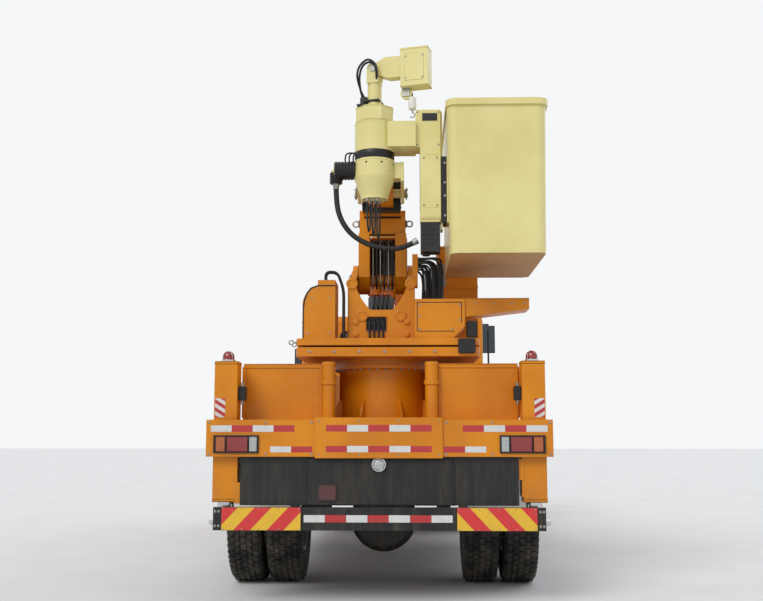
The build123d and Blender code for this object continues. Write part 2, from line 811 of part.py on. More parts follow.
# Doors: a panel as thick as the cab's wall, with the window cut, and its glass
for side, sign in SIDES:
    outer = sign * cab_half_width
    with BuildPart() as door:
        with BuildSketch(Plane.YZ.offset(outer)):
            add(door_outline())
            add(window_outline(), mode=Mode.SUBTRACT)
        extrude(amount=-sign * cab_wall)
        handle_y = (door_rear_y + 50, door_rear_y + 190)
        slab(span(sign, cab_half_width - 1, cab_half_width + 14), handle_y, (1640, 1670))
        for z in door_hinge_z:
            hinge = (z - 40, z + 40)
            leaf_x = span(sign, cab_half_width - 1, cab_half_width + 6)
            slab(leaf_x, (door_front_y - 40, door_front_y - 2), hinge)
            slab(span(sign, cab_half_width + 1, cab_half_width + 6), (door_front_y - 3, door_hinge_y), hinge)
            bar_z(door_hinge_radius, sign * (cab_half_width + 4), door_hinge_y, hinge)
    door.part.label = f"door_{side}"
    export_step(door.part, f"parts/door_{side}.step")

    with BuildPart() as door_glass:
        with BuildSketch(Plane.YZ.offset(outer - sign * 20.0)):
            add(window_outline(seat_gap))
        extrude(amount=-sign * glass_thickness)
    door_glass.part.label = f"door_glass_{side}"
    export_step(door_glass.part, f"parts/door_glass_{side}.step")

# Dashboard, steering column and seats
floor_z = cab_floor_z + cab_floor_depth
with BuildPart() as cab_interior:
    with BuildSketch(Plane.YZ):
        with BuildLine():
            dash_front = cab_front_y - cab_wall
            Polyline(
                (2640, 1650),
                (2700, 1760),
                (dash_front - 25, 1735),
                (dash_front, 1600),
                (dash_front, 1480),
                (2740, 1480),
                close=True,
            )
        make_face()
    extrude(amount=cab_half_width - cab_wall, both=True)
    for x in (driver_x, -driver_x):
        with BuildSketch(Plane.YZ.offset(x)):
            with BuildLine():
                cushion = [(1560, 1400), (2120, 1440), (2130, 1560), (1690, 1540)]
                back = [(1610, 2130), (1500, 2130)]
                Polyline(*(cushion + back), close=True)
            make_face()
        extrude(amount=seat_half_width, both=True)
        slab((x - 140, x + 140), (1640, 2060), (floor_z, 1430))
    wheel_centre = Vector(driver_x, 2500, 1800)
    lean = Vector(0, -0.8, 1)
    with BuildSketch(Plane(origin=wheel_centre, z_dir=lean)):
        Circle(215)
        Circle(190, mode=Mode.SUBTRACT)
        Rectangle(390, 34)
        Circle(48)
    extrude(amount=12, both=True)
    with BuildSketch(Plane(origin=wheel_centre, z_dir=lean)):
        Circle(30)
    extrude(amount=-360)
cab_interior.part.label = "cab_interior"
export_step(cab_interior.part, "parts/cab_interior.step")


# Front bumper, grille bars and lamps
with BuildPart() as front_bumper:
    with BuildSketch(Plane.XY.offset(bumper_z[0])):
        with BuildLine():
            end = bumper_half_width
            wrap_y = bumper_y[0] - 260
            outside = [(end, wrap_y), (end, bumper_y[1] - 70), (end - 130, bumper_y[1])]
            inside = [(rail_outer, rail_front_y + seat_gap), (end - 60, bumper_y[0] - 60), (end - 40, wrap_y)]
            left_outside = [(-x, y) for x, y in reversed(outside)]
            left_inside = [(-x, y) for x, y in reversed(inside)]
            Polyline(*(outside + left_outside + left_inside + inside), close=True)
        make_face()
    extrude(amount=bumper_z[1] - bumper_z[0])
    for side, sign in SIDES:
        slab(span(sign, *head_lamp_x), (bumper_y[1] - 60, bumper_y[1] + 1), head_lamp_z, mode=Mode.SUBTRACT)
    slab((-360, 360), (bumper_y[1] - 40, bumper_y[1] + 1), (560, 690), mode=Mode.SUBTRACT)
front_bumper.part.label = "front_bumper"
export_step(front_bumper.part, "parts/front_bumper.step")

grille_y = cab_front_y - grille_depth
with BuildPart() as grille:
    for k in range(5):
        z = grille_z[0] + 15 + k * 75
        slab(grille_x, (grille_y, cab_front_y - 5), (z, z + 42))
    for x in (-grille_half_width / 2, 0, grille_half_width / 2):
        slab((x - 12, x + 12), (grille_y, grille_y + 30), grille_z)
    slab(grille_x, (grille_y, grille_y + 8), grille_z)
grille.part.label = "grille"
export_step(grille.part, "parts/grille.step")

tail_side_y = rear_face_y + tail_lamp_depth
head_lens_x = (head_lamp_x[0] + 1, head_lamp_x[1] - 1)
head_lens_z = (head_lamp_z[0] + 1, head_lamp_z[1] - 1)
with BuildPart() as lamps:
    for side, sign in SIDES:
        slab(span(sign, *head_lens_x), (bumper_y[1] - 60, bumper_y[1] - 8), head_lens_z)
        slab(span(sign, *tail_lamp_x), (rear_face_y, tail_side_y), tail_lamp_z)
lamps.part.label = "lamps"
export_step(lamps.part, "parts/lamps.step")

# Mirrors on tubes ahead of the doors' swing; the right one, higher, has a second stay to the roof
mirror_mid_x = (mirror_x[0] + mirror_x[1]) / 2
with BuildPart() as mirrors:
    for side, sign in SIDES:
        head = right_mirror_z if sign > 0 else left_mirror_z
        x_mid = sign * mirror_mid_x
        slab(span(sign, *mirror_x), (mirror_y - mirror_half_depth, mirror_y + mirror_half_depth), head)
        bar_z(stay_radius, x_mid, mirror_stay_y, (mirror_stay_z[0], head[1] - 60))
        for z in mirror_stay_z:
            bar_x(stay_radius, span(sign, cab_half_width, mirror_mid_x), mirror_stay_y, z)
            pad_x = span(sign, cab_half_width, cab_half_width + stay_radius)
            slab(pad_x, (mirror_stay_y - 22, mirror_stay_y + 22), (z - 22, z + 22))
        with Locations((x_mid, mirror_stay_y, mirror_stay_z[0])):
            Sphere(stay_radius)
    bar_z(stay_radius, mirror_mid_x, mirror_y, (right_mirror_z[1] - 5, roof_stay_z))
    bar_x(stay_radius, (roof_stay_x, mirror_mid_x), mirror_y, roof_stay_z)
    bar_y(stay_radius, roof_stay_x, (roof_stay_y, mirror_y), roof_stay_z)
    bar_z(stay_radius, roof_stay_x, roof_stay_y, (cab_roof_z, roof_stay_z))
    bar_z(3 * stay_radius, roof_stay_x, roof_stay_y, (cab_roof_z, cab_roof_z + 8))
    for x, y in ((mirror_mid_x, mirror_y), (roof_stay_x, mirror_y), (roof_stay_x, roof_stay_y)):
        with Locations((x, y, roof_stay_z)):
            Sphere(stay_radius)
mirrors.part.label = "mirrors"
export_step(mirrors.part, "parts/mirrors.step")

# Fuel tank on the left, air tanks and battery box on the right, hung from the rails
hanger_z = (745.0, 900.0)
hanger_half = 30.0
with BuildPart() as side_tanks:
    slab(span(-1, *tank_x), tank_y, tank_z)
    fillet(side_tanks.edges().filter_by(Axis.Y), 90.0)
    bar_z(45, 110 - tank_x[1], tank_y[1] - 120, (tank_z[1] - 5, tank_z[1] + 40))
    for x in air_tank_x:
        bar_y(air_tank_radius, x, air_tank_y, air_tank_z)
    slab(battery_box_x, battery_box_y, battery_box_z)
    for sign, ys in ((-1, (-800, 100)), (1, (-1400, -900, -300, 100))):
        for y in ys:
            slab(span(sign, rail_outer, 620), (y - hanger_half, y + hanger_half), hanger_z)
    for y in (-1400, -900):
        slab((air_tank_x[0] - 10, air_tank_x[1] + 15), (y - hanger_half, y + hanger_half), hanger_z)
side_tanks.part.label = "side_tanks"
export_step(side_tanks.part, "parts/side_tanks.step")

# Side guards and the flaps behind and ahead of the rear wheels, hung from the deck
with BuildPart() as side_guards:
    for side, sign in SIDES:
        for z in guard_rail_z:
            slab(span(sign, *guard_x), guard_y, (z, z + guard_rail_height))
        for y in (guard_y[0] + 80, -760, guard_y[1] - 80):
            post = span(sign, guard_x[0] - 35, guard_x[0] + 1)
            slab(post, (y - 25, y + 25), (guard_rail_z[0], rail_top + subframe_height))
        for y in (rear_axle_y - tyre_radius - 75, rear_axle_y + tyre_radius + 65):
            slab(span(sign, 625, deck_half_width - deck_edge), (y, y + 10), (570, rail_top + subframe_height))
side_guards.part.label = "side_guards"
export_step(side_guards.part, "parts/side_guards.step")

# Deck: bearers, plate, edge skirts and the tail panels, with notches for the rear legs
notch_inner = housing_half_width + 15
notch_half = housing_depth / 2
with BuildPart() as deck:
    rear = rear_face_y + tail_panel_depth
    slab((-deck_half_width, deck_half_width), (rear, deck_front_y), (deck_z - deck_plate, deck_z))
    for y in (-3680, -3500, -2450, -1950, -1400, -850, -300, 200, 500):
        half = deck_half_width - deck_edge
        bearer_y = (y - bearer_depth / 2, y + bearer_depth / 2)
        slab((-half, half), bearer_y, (rail_top + subframe_height, deck_z - deck_plate))
    for side, sign in SIDES:
        edge_x = span(sign, deck_half_width - deck_edge, deck_half_width)
        slab(edge_x, (rear, deck_front_y), (deck_edge_z, deck_z))
        slab(span(sign, 440, deck_half_width), (tail_side_y, rear), (deck_edge_z, deck_z))
        notch_y = (rear_outrigger_y - notch_half, rear_outrigger_y + notch_half)
        notch_x = span(sign, notch_inner, deck_half_width + 1)
        slab(notch_x, notch_y, (deck_edge_z - 1, deck_z + 1), mode=Mode.SUBTRACT)
        bar_z(post_radius, sign * post_x, post_y, (deck_z - deck_plate, post_top_z))
        bar_z(post_radius + 9, sign * post_x, post_y, (1560, 1590))
    slab((-450, 450), (rear_face_y, rear), (deck_edge_z - 10, deck_z + 15))
    bar_z(pedestal_radius + 3, 0, slew_y, (rail_top + subframe_height - 1, deck_z + 1), mode=Mode.SUBTRACT)
deck.part.label = "deck"
export_step(deck.part, "parts/deck.step")

# Lockers on the deck, open on their outer sides, and their drop doors
with BuildPart() as lockers:
    for side, sign in SIDES:
        wall = locker_wall
        slab(span(sign, *locker_x), locker_y, (deck_z, locker_top_z))
        inner_x = span(sign, locker_x[0] + wall, locker_x[1] - wall)
        inner_y = (locker_y[0] + wall, locker_y[1] - wall)
        slab(inner_x, inner_y, (deck_z + wall, locker_top_z - wall), mode=Mode.SUBTRACT)
        mouth_x = span(sign, locker_x[1] - wall - 1, locker_x[1] + 1)
        mouth_y = (locker_y[0] + wall + locker_lip, locker_y[1] - wall - locker_lip)
        mouth_z = (deck_z + wall + locker_lip, locker_top_z - wall - locker_lip)
        slab(mouth_x, mouth_y, mouth_z, mode=Mode.SUBTRACT)
lockers.part.label = "lockers"
export_step(lockers.part, "parts/lockers.step")

door_low_z = deck_z + 18
for side, sign in SIDES:
    with BuildPart() as locker_lid:
        face = locker_x[1] + seat_gap
        y = (locker_y[0] + 20, locker_y[1] - 20)
        slab(span(sign, face, face + locker_door), y, (door_low_z, locker_top_z - 15))
        outer = face + locker_door
        for y in (locker_y[0] + 600, locker_y[1] - 600):
            slab(span(sign, outer - 1, outer + 20), (y - 60, y + 60), (1570, 1590))
        for y in (locker_y[0] + 200, sum(locker_y) / 2, locker_y[1] - 200):
            bar_y(locker_hinge_radius, sign * outer, (y - 70, y + 70), locker_hinge_z)
            leaf_x = span(sign, outer - 4, outer + locker_hinge_radius)
            slab(leaf_x, (y - 70, y + 70), (locker_hinge_z, door_low_z + 12))
    locker_lid.part.label = f"locker_door_{side}"
    export_step(locker_lid.part, f"parts/locker_door_{side}.step")

# Rear underrun bar with its two sloping-stripe boards, and the dark closing panel above it
with BuildPart() as rear_bar:
    slab((-rear_bar_half_width, rear_bar_half_width), (rear_face_y + 20, rear_face_y + 38), rear_bar_z)
    for side, sign in SIDES:
        slab(span(sign, *rear_board_x), (rear_face_y + 8, rear_face_y + 21), rear_bar_z)
        stem_x = span(sign, rear_board_x[0] + 15, rear_board_x[0] + 75)
        slab(stem_x, (rear_face_y + 37, rear_outrigger_y - 60), (rear_bar_z[0] + 70, rear_housing_z))
    slab((-530, 530), (rear_face_y + 45, rear_outrigger_y - housing_depth / 2), (rear_housing_z, 1022))
rear_bar.part.label = "rear_bar"
export_step(rear_bar.part, "parts/rear_bar.step")


def outrigger_levels(low_z):
    """Floors of the two channels inside an outrigger box: the left beam runs in the lower one."""
    channel = (housing_height - 2 * housing_wall - housing_divider) / 2
    lower = low_z + housing_wall
    return channel, {"left": lower, "right": lower + channel + housing_divider}


# Outriggers: a sliding beam with its leg, and the ram and foot inside the leg
outrigger_rows = (("rear", rear_outrigger_y, rear_housing_z), ("front", front_outrigger_y, front_housing_z))
for end, centre_y, low_z in outrigger_rows:
    channel, floors = outrigger_levels(low_z)
    for side, sign in SIDES:
        half = (leg_x[1] - leg_x[0]) / 2
        leg_mid_x = sign * (leg_x[0] + half)
        leg_y = (centre_y - half, centre_y + half)
        with BuildPart() as beam:
            beam_half = housing_depth / 2 - housing_wall - moving_gap
            beam_y = (centre_y - beam_half, centre_y + beam_half)
            beam_z = (floors[side] + seat_gap, floors[side] + channel - moving_gap)
            slab(span(sign, leg_x[0] - 12, leg_x[0] + 3), beam_y, beam_z)
            tail_x = (-beam_tail, leg_x[0] - 11) if sign > 0 else (11 - leg_x[0], beam_tail)
            slab(tail_x, beam_y, beam_z)
            slab(span(sign, *leg_x), leg_y, leg_z)
            inner = half - leg_wall
            hollow_x = (leg_mid_x - inner, leg_mid_x + inner)
            hollow_y = (centre_y - inner, centre_y + inner)
            slab(hollow_x, hollow_y, (leg_z[0] + leg_wall, leg_z[1] - leg_wall), mode=Mode.SUBTRACT)
            hole_z = (leg_z[0] - 1, leg_z[0] + leg_wall + 1)
            bar_z(ram_radius + pin_gap, leg_mid_x, centre_y, hole_z, mode=Mode.SUBTRACT)
            slab(span(sign, leg_x[0] - 12, leg_x[0] + 1), leg_y, (leg_z[0] + 40, leg_z[1] - 560))
            if end == "rear":
                dome_z = leg_z[1] + leg_lamp_height - leg_lamp_radius
                bar_z(leg_lamp_radius, leg_mid_x, centre_y, (leg_z[1] - 1, dome_z))
                with Locations((leg_mid_x, centre_y, dome_z)):
                    Sphere(leg_lamp_radius)
        beam.part.label = f"{end}_outrigger_{side}"
        export_step(beam.part, f"parts/{end}_outrigger_{side}.step")

        with BuildPart() as jack:
            bar_z(ram_radius, leg_mid_x, centre_y, (foot_z + foot_height - 1, ram_top_z))
            bar_z(inner - 2 * seat_gap, leg_mid_x, centre_y, (ram_top_z - 40, ram_top_z))
            bar_z(foot_radius, leg_mid_x, centre_y, (foot_z, foot_z + foot_height))
            chamfer(jack.edges().filter_by(GeomType.CIRCLE).group_by(Axis.Z)[0], 12)
            with Locations((leg_mid_x, centre_y, foot_z + foot_height)):
                Cone(88, ram_radius + 4, 50, align=(Align.CENTER, Align.CENTER, Align.MIN))
        jack.part.label = f"{end}_jack_{side}"
        export_step(jack.part, f"parts/{end}_jack_{side}.step")

# Pedestal with its base plate and the fixed slewing ring
with BuildPart() as pedestal:
    base_z = rail_top + subframe_height
    bar_z(pedestal_radius, 0, slew_y, (base_z, pedestal_top_z))
    bar_z(pedestal_flange_radius, 0, slew_y, (pedestal_top_z - pedestal_flange, pedestal_top_z))
    bar_z(ring_radius, 0, slew_y, (pedestal_top_z, ring_top_z))
    foot_y = (slew_y - pedestal_flange_radius, slew_y + pedestal_flange_radius)
    slab((-rail_outer, rail_outer), foot_y, (base_z, base_z + pedestal_flange))
    bar_z(pedestal_radius - 30, 0, slew_y, (base_z - 1, ring_top_z + 1), mode=Mode.SUBTRACT)
pedestal.part.label = "pedestal"
export_step(pedestal.part, "parts/pedestal.step")

# Boom rest on the front outrigger box: a braced post with a padded saddle
rest_y = (front_outrigger_y - 60, front_outrigger_y + 60)
rest_u = rest_y[0] - foot_pin_y
rest_top_z = foot_pin_z + lower_v[0] + rest_u * sin(radians(boom_slope)) - 2 * moving_gap
with BuildPart() as boom_rest:
    base_z = front_housing_z + housing_height
    for side, sign in SIDES:
        slab(span(sign, 150, 210), (rest_y[0], rest_y[1]), (base_z, rest_top_z - 60))
    slab((-300, 300), (rest_y[0] - 20, rest_y[1] + 20), (base_z, base_z + 16))
    slab((-212, 212), rest_y, (1900, 1960))
    slab((-260, 260), rest_y, (rest_top_z - 61, rest_top_z - 25))
    slab((-230, 230), (rest_y[0] + 10, rest_y[1] - 10), (rest_top_z - 26, rest_top_z))
boom_rest.part.label = "boom_rest"
export_step(boom_rest.part, "parts/boom_rest.step")

# Turntable: disc, platform plate and the yoke that carries the boom foot and lift cylinder
with BuildPart() as turret:
    bar_z(turret_disc_radius, 0, slew_y, (ring_top_z + seat_gap, lower_plate_z[0] + 1))
    bar_z(turret_core_radius, 0, slew_y, (lower_plate_z[1] - 1, platform_z[0] + 1))
    for plate_z in (lower_plate_z, platform_z):
        slab(platform_x, platform_y, plate_z)
    fillet(turret.edges().filter_by(Axis.Z).filter_by(lambda e: abs(e.center().X) > 600), platform_corner)
    for sign in (-1, 1):
        with BuildSketch(Plane.YZ.offset(sign * yoke_inner)):
            with BuildLine():
                Polyline(
                    (yoke_rear_y, platform_z[1] - 1),
                    (yoke_rear_y, foot_pin_z - 60),
                    (foot_pin_y - 125, foot_pin_z + 35),
                    (foot_pin_y + 110, foot_pin_z + 70),
                    (cylinder_pin_y + 130, platform_z[1] + 190),
                    (cylinder_pin_y + 250, platform_z[1] - 1),
                    close=True,
                )
            make_face()
            with Locations((foot_pin_y, foot_pin_z)):
                Circle(130)
        extrude(amount=sign * yoke_plate)
        bar_x(85, span(sign, yoke_inner, yoke_inner + yoke_flange), foot_pin_y, foot_pin_z)
        lug = span(sign, eye_half_width + moving_gap + 3, eye_half_width + moving_gap + 33)
        with BuildSketch(Plane.YZ.offset(lug[0])):
            with BuildLine():
                Polyline(
                    (cylinder_pin_y - 120, platform_z[1] - 1),
                    (cylinder_pin_y - 62, cylinder_pin_z),
                    (cylinder_pin_y + 62, cylinder_pin_z),
                    (cylinder_pin_y + 120, platform_z[1] - 1),
                    close=True,
                )
            make_face()
            with Locations((cylinder_pin_y, cylinder_pin_z)):
                Circle(66)
        extrude(amount=30)
    bar_x(foot_pin_radius, (-262, 262), foot_pin_y, foot_pin_z)
    bar_x(cylinder_pin_radius, (-105, 105), cylinder_pin_y, cylinder_pin_z)

    # The rear plate across the yoke's cheeks, with its deep curved notch and the slot for hoses
    with BuildSketch(Plane.XZ.offset(-yoke_rear_y)):
        with BuildLine():
            base_z = platform_z[1] - 1
            edge_x = yoke_inner + yoke_flange
            middle = (0.72 * yoke_inner, sum(notch_z) / 2 - 22)
            horn = [(yoke_inner, notch_z[1]), (yoke_inner, yoke_flange_z), (edge_x - 12, yoke_flange_z)]
            horn += [(edge_x, yoke_flange_z - 40), (edge_x, base_z)]
            Polyline(*horn)
            Polyline(*[(-x, z) for x, z in horn])
            ThreePointArc((notch_half_width, notch_z[0]), middle, horn[0])
            ThreePointArc((-notch_half_width, notch_z[0]), (-middle[0], middle[1]), (-yoke_inner, notch_z[1]))
            Line((-notch_half_width, notch_z[0]), (notch_half_width, notch_z[0]))
            Line((-edge_x, base_z), (edge_x, base_z))
        make_face()
        with Locations((sum(plate_slot_x) / 2, sum(plate_slot_z) / 2)):
            slot_size = (plate_slot_x[1] - plate_slot_x[0], plate_slot_z[1] - plate_slot_z[0])
            RectangleRounded(*slot_size, 12, mode=Mode.SUBTRACT)
    extrude(amount=24)

    # The block on the right cheek that the valve hoses run to
    slab(hose_block_x, hose_block_y, hose_block_z)
turret.part.label = "turret"
export_step(turret.part, "parts/turret.step")

# Valve box with its sloping corner, the step beside it, the hose cover and the oil tank
box_low = platform_z[1]
with BuildPart() as turret_boxes:
    with BuildSketch(Plane.XZ.offset(-valve_box_y[0])):
        with BuildLine():
            corner_x = valve_box_x[1] - valve_box_corner
            base = [(valve_box_x[0], box_low), (corner_x, box_low)]
            base += [(valve_box_x[1], box_low + valve_box_corner)]
            top = [(valve_box_x[1], valve_box_top_z), (valve_box_x[0], valve_box_top_z)]
            Polyline(*(base + top), close=True)
        make_face()
    extrude(amount=valve_box_y[0] - valve_box_y[1])
    with BuildSketch(Plane.XZ.offset(-wing_y[0])):
        with BuildLine():
            underside = [(valve_box_x[1] - 1, wing_low_z[0]), (wing_x, wing_low_z[1])]
            top = [(wing_x, valve_box_top_z), (valve_box_x[1] - 1, valve_box_top_z)]
            Polyline(*(underside + top), close=True)
        make_face()
    extrude(amount=wing_y[0] - wing_y[1])
    with BuildSketch(Plane.XZ.offset(-cover_y[0])):
        with BuildLine():
            arc_start = (cover_x[0], cover_side_z)
            arc_end = (cover_step_x, cover_z[0])
            shoulder = (cover_x[0] + 0.3 * (cover_step_x - cover_x[0]), cover_z[0] - 55)
            Polyline((cover_x[1], box_low), (cover_x[0], box_low), arc_start)
            ThreePointArc(arc_start, shoulder, arc_end)
            Polyline(arc_end, (cover_step_x, cover_z[1]), (cover_x[1], cover_z[1]), (cover_x[1], box_low))
        make_face()
    extrude(amount=cover_y[0] - cover_y[1])
    slab(oil_tank_x, oil_tank_y, (box_low, oil_tank_top_z))
turret_boxes.part.label = "turret_boxes"
export_step(turret_boxes.part, "parts/turret_boxes.step")

# Lift cylinder: barrel on the turntable's lug, rod reaching to the boom's lug
rod_eye_y, rod_eye_z = boom_point(rod_eye_u, rod_eye_v)
cylinder_start = Vector(0, cylinder_pin_y, cylinder_pin_z)
cylinder_run = Vector(0, rod_eye_y, rod_eye_z) - cylinder_start
cylinder_way = cylinder_run.normalized()


def along_cylinder(distance):
    """The plane across the lift cylinder at a distance from its lower pin."""
    return Plane(origin=cylinder_start + cylinder_way * distance, x_dir=(1, 0, 0), z_dir=cylinder_way)


with BuildPart() as lift_barrel:
    bar_x(eye_radius, (-eye_half_width, eye_half_width), cylinder_pin_y, cylinder_pin_z)
    with BuildSketch(along_cylinder(40)):
        Circle(58)
    extrude(amount=barrel_start - 38)
    with BuildSketch(along_cylinder(barrel_start)):
        Circle(barrel_radius)
    extrude(amount=barrel_end - barrel_start)
    with BuildSketch(along_cylinder(barrel_end - 70)):
        Circle(barrel_radius + 9)
    extrude(amount=60)
    with BuildSketch(along_cylinder(rod_tail - 20)):
        Circle(rod_radius + pin_gap)
    extrude(amount=barrel_end, mode=Mode.SUBTRACT)
    bar_x(cylinder_pin_radius + pin_gap, (-200, 200), cylinder_pin_y, cylinder_pin_z, mode=Mode.SUBTRACT)
lift_barrel.part.label = "lift_barrel"
export_step(lift_barrel.part, "parts/lift_barrel.step")

with BuildPart() as lift_rod:
    with BuildSketch(along_cylinder(rod_tail)):
        Circle(rod_radius)
    extrude(amount=cylinder_run.length - rod_tail)
    bar_x(eye_radius, (-eye_half_width, eye_half_width), rod_eye_y, rod_eye_z)
    bar_x(cylinder_pin_radius, (-200, 200), rod_eye_y, rod_eye_z, mode=Mode.SUBTRACT)
lift_rod.part.label = "lift_rod"
export_step(lift_rod.part, "parts/lift_rod.step")


# Lower boom: a box tube
tube_u = (lower_tube_u, lower_u[1])
tube_middle = (sum(tube_u) / 2, sum(lower_v) / 2)
tube_depth = lower_v[1] - lower_v[0]
with BuildPart() as lower_boom:
    with BuildSketch(boom_plane()):
        with Locations(tube_middle):
            Rectangle(tube_u[1] - tube_u[0], tube_depth)
    extrude(amount=lower_half_width, both=True)
    with BuildSketch(boom_plane()):
        with Locations(tube_middle):
            Rectangle(tube_u[1] - tube_u[0] + 2, tube_depth - 2 * lower_wall)
    extrude(amount=lower_half_width - lower_wall, both=True, mode=Mode.SUBTRACT)
lower_boom.part.label = "lower_boom"
export_step(lower_boom.part, "parts/lower_boom.step")

# What is welded to the tube: foot legs, cradle, cylinder lugs, and the elbow's ears with its pin
with BuildPart() as boom_lugs:
    for side, sign in SIDES:
        with BuildSketch(boom_plane(sign * lower_half_width)):
            with BuildLine():
                heel = [(lower_u[0], lower_v[1]), (lower_u[0], 20), (-85, -70)]
                toe = [(95, -60), (420, lower_v[0] + 1), (420, lower_v[1])]
                Polyline(*(heel + toe), close=True)
            make_face()
            Circle(110)
            Circle(foot_pin_radius + pin_gap, mode=Mode.SUBTRACT)
        extrude(amount=-sign * foot_plate)
        with BuildSketch(boom_plane(sign * lower_half_width)):
            with BuildLine():
                Polyline(
                    (elbow_u - 650, lower_v[0] + 30),
                    (elbow_u - 650, lower_v[1] - 30),
                    (elbow_u - 400, lower_v[1]),
                    (elbow_u - 120, elbow_v + 120),
                    (elbow_u + 150, elbow_v - 80),
                    (elbow_u - 250, lower_v[0]),
                    close=True,
                )
            make_face()
            with Locations((elbow_u, elbow_v)):
                Circle(elbow_ear_radius)
        extrude(amount=-sign * elbow_ear)
        lug_x = span(sign, eye_half_width + moving_gap + 3, eye_half_width + moving_gap + 33)
        with BuildSketch(boom_plane(lug_x[0])):
            with BuildLine():
                Polyline(
                    (rod_eye_u - 170, lower_v[0] + 1),
                    (rod_eye_u - 62, rod_eye_v),
                    (rod_eye_u + 62, rod_eye_v),
                    (rod_eye_u + 170, lower_v[0] + 1),
                    close=True,
                )
            make_face()
            with Locations((rod_eye_u, rod_eye_v)):
                Circle(66)
                Circle(cylinder_pin_radius, mode=Mode.SUBTRACT)
        extrude(amount=30)
    with BuildSketch(boom_plane()):
        with Locations((elbow_u, elbow_v)):
            Circle(elbow_pin_radius)
    extrude(amount=lower_half_width + 40, both=True)

    # The cradle near the foot that takes the folded upper boom's tip
    cradle_half = insulator_half_width + 50
    cradle_mid_u = sum(cradle_u) / 2
    with BuildSketch(boom_plane()):
        with Locations((cradle_mid_u, (lower_v[1] + upper_v[0] - moving_gap) / 2)):
            Rectangle(cradle_u[1] - cradle_u[0], upper_v[0] - moving_gap - lower_v[1] + 1)
    extrude(amount=cradle_half, both=True)
    for side, sign in SIDES:
        with BuildSketch(boom_plane(sign * cradle_half)):
            with Locations((cradle_mid_u, (lower_v[1] + upper_v[0] + 60) / 2)):
                Rectangle(cradle_u[1] - cradle_u[0], upper_v[0] + 60 - lower_v[1])
        extrude(amount=-sign * cradle_cheek)

    with BuildSketch(boom_plane()):
        with Locations(tube_middle):
            Rectangle(tube_u[1] - tube_u[0], tube_depth)
    extrude(amount=lower_half_width, both=True, mode=Mode.SUBTRACT)
boom_lugs.part.label = "boom_lugs"
export_step(boom_lugs.part, "parts/boom_lugs.step")

# Levelling wheel on the elbow pin
link_x = (-lower_half_width - 8, -lower_half_width - 34)
with BuildPart() as elbow_link:
    with BuildSketch(boom_plane(link_x[1])):
        with Locations((elbow_u, elbow_v)):
            Circle(link_radius)
            Circle(elbow_pin_radius + pin_gap, mode=Mode.SUBTRACT)
            with PolarLocations(115, 6):
                Circle(32, mode=Mode.SUBTRACT)
    extrude(amount=link_x[0] - link_x[1])
elbow_link.part.label = "elbow_link"
export_step(elbow_link.part, "parts/elbow_link.step")

# Upper boom: steel root with its hub, and the sleeve and hub at the tip
upper_mid = (upper_v[0] + upper_v[1]) / 2
with BuildPart() as upper_boom:
    steel_u = (steel_end_u, elbow_u - 190)
    with BuildSketch(boom_plane()):
        with Locations((sum(steel_u) / 2, upper_mid)):
            Rectangle(steel_u[1] - steel_u[0], upper_v[1] - upper_v[0])
        with BuildLine():
            Polyline(
                (steel_u[1] - 260, upper_v[0]),
                (steel_u[1] - 260, upper_v[1]),
                (steel_u[1] + 60, upper_v[1]),
                (elbow_u + 90, elbow_v + 110),
                (elbow_u + 110, elbow_v - 40),
                (elbow_u - 40, elbow_v - 120),
                (steel_u[1] - 40, upper_v[0]),
                close=True,
            )
        make_face()
        with Locations((elbow_u, elbow_v)):
            Circle(155)
    extrude(amount=upper_half_width, both=True)
    with BuildSketch(boom_plane()):
        with Locations((sum(steel_u) / 2 - 130, upper_mid)):
            Rectangle(steel_u[1] - steel_u[0] - 260, upper_v[1] - upper_v[0] - 2 * upper_wall)
    extrude(amount=upper_half_width - upper_wall, both=True, mode=Mode.SUBTRACT)
    with BuildSketch(boom_plane()):
        with Locations((steel_end_u + 20, upper_mid)):
            Rectangle(38, upper_v[1] - upper_v[0] - 4)
    extrude(amount=upper_half_width - 3, both=True)
    with BuildSketch(boom_plane()):
        with Locations((steel_end_u, upper_mid)):
            Rectangle(2 * insulator_lap, 2 * (insulator_half_height + seat_gap))
    extrude(amount=insulator_half_width + seat_gap, both=True, mode=Mode.SUBTRACT)
    with BuildSketch(boom_plane()):
        with Locations((elbow_u, elbow_v)):
            Circle(elbow_pin_radius + pin_gap)
    extrude(amount=300, both=True, mode=Mode.SUBTRACT)

    with BuildSketch(boom_plane()):
        with Locations((sum(sleeve_u) / 2, upper_mid)):
            Rectangle(sleeve_u[1] - sleeve_u[0], 2 * (insulator_half_height + sleeve_grow))
    extrude(amount=insulator_half_width + sleeve_grow, both=True)
    with BuildSketch(boom_plane()):
        with Locations((insulator_end_u + 300, upper_mid)):
            Rectangle(600, 2 * (insulator_half_height + seat_gap))
    extrude(amount=insulator_half_width + seat_gap, both=True, mode=Mode.SUBTRACT)
    with BuildSketch(boom_plane()):
        with Locations((tip_u, upper_mid)):
            Circle(tip_hub_radius)
        with Locations((tip_u + 50, upper_mid)):
            Rectangle(100, 2 * tip_hub_radius)
    extrude(amount=tip_hub_half_width, both=True)
    with BuildSketch(boom_plane()):
        with Locations((tip_u, upper_mid)):
            Circle(tip_pin_radius + pin_gap)
    extrude(amount=300, both=True, mode=Mode.SUBTRACT)
upper_boom.part.label = "upper_boom"
export_step(upper_boom.part, "parts/upper_boom.step")

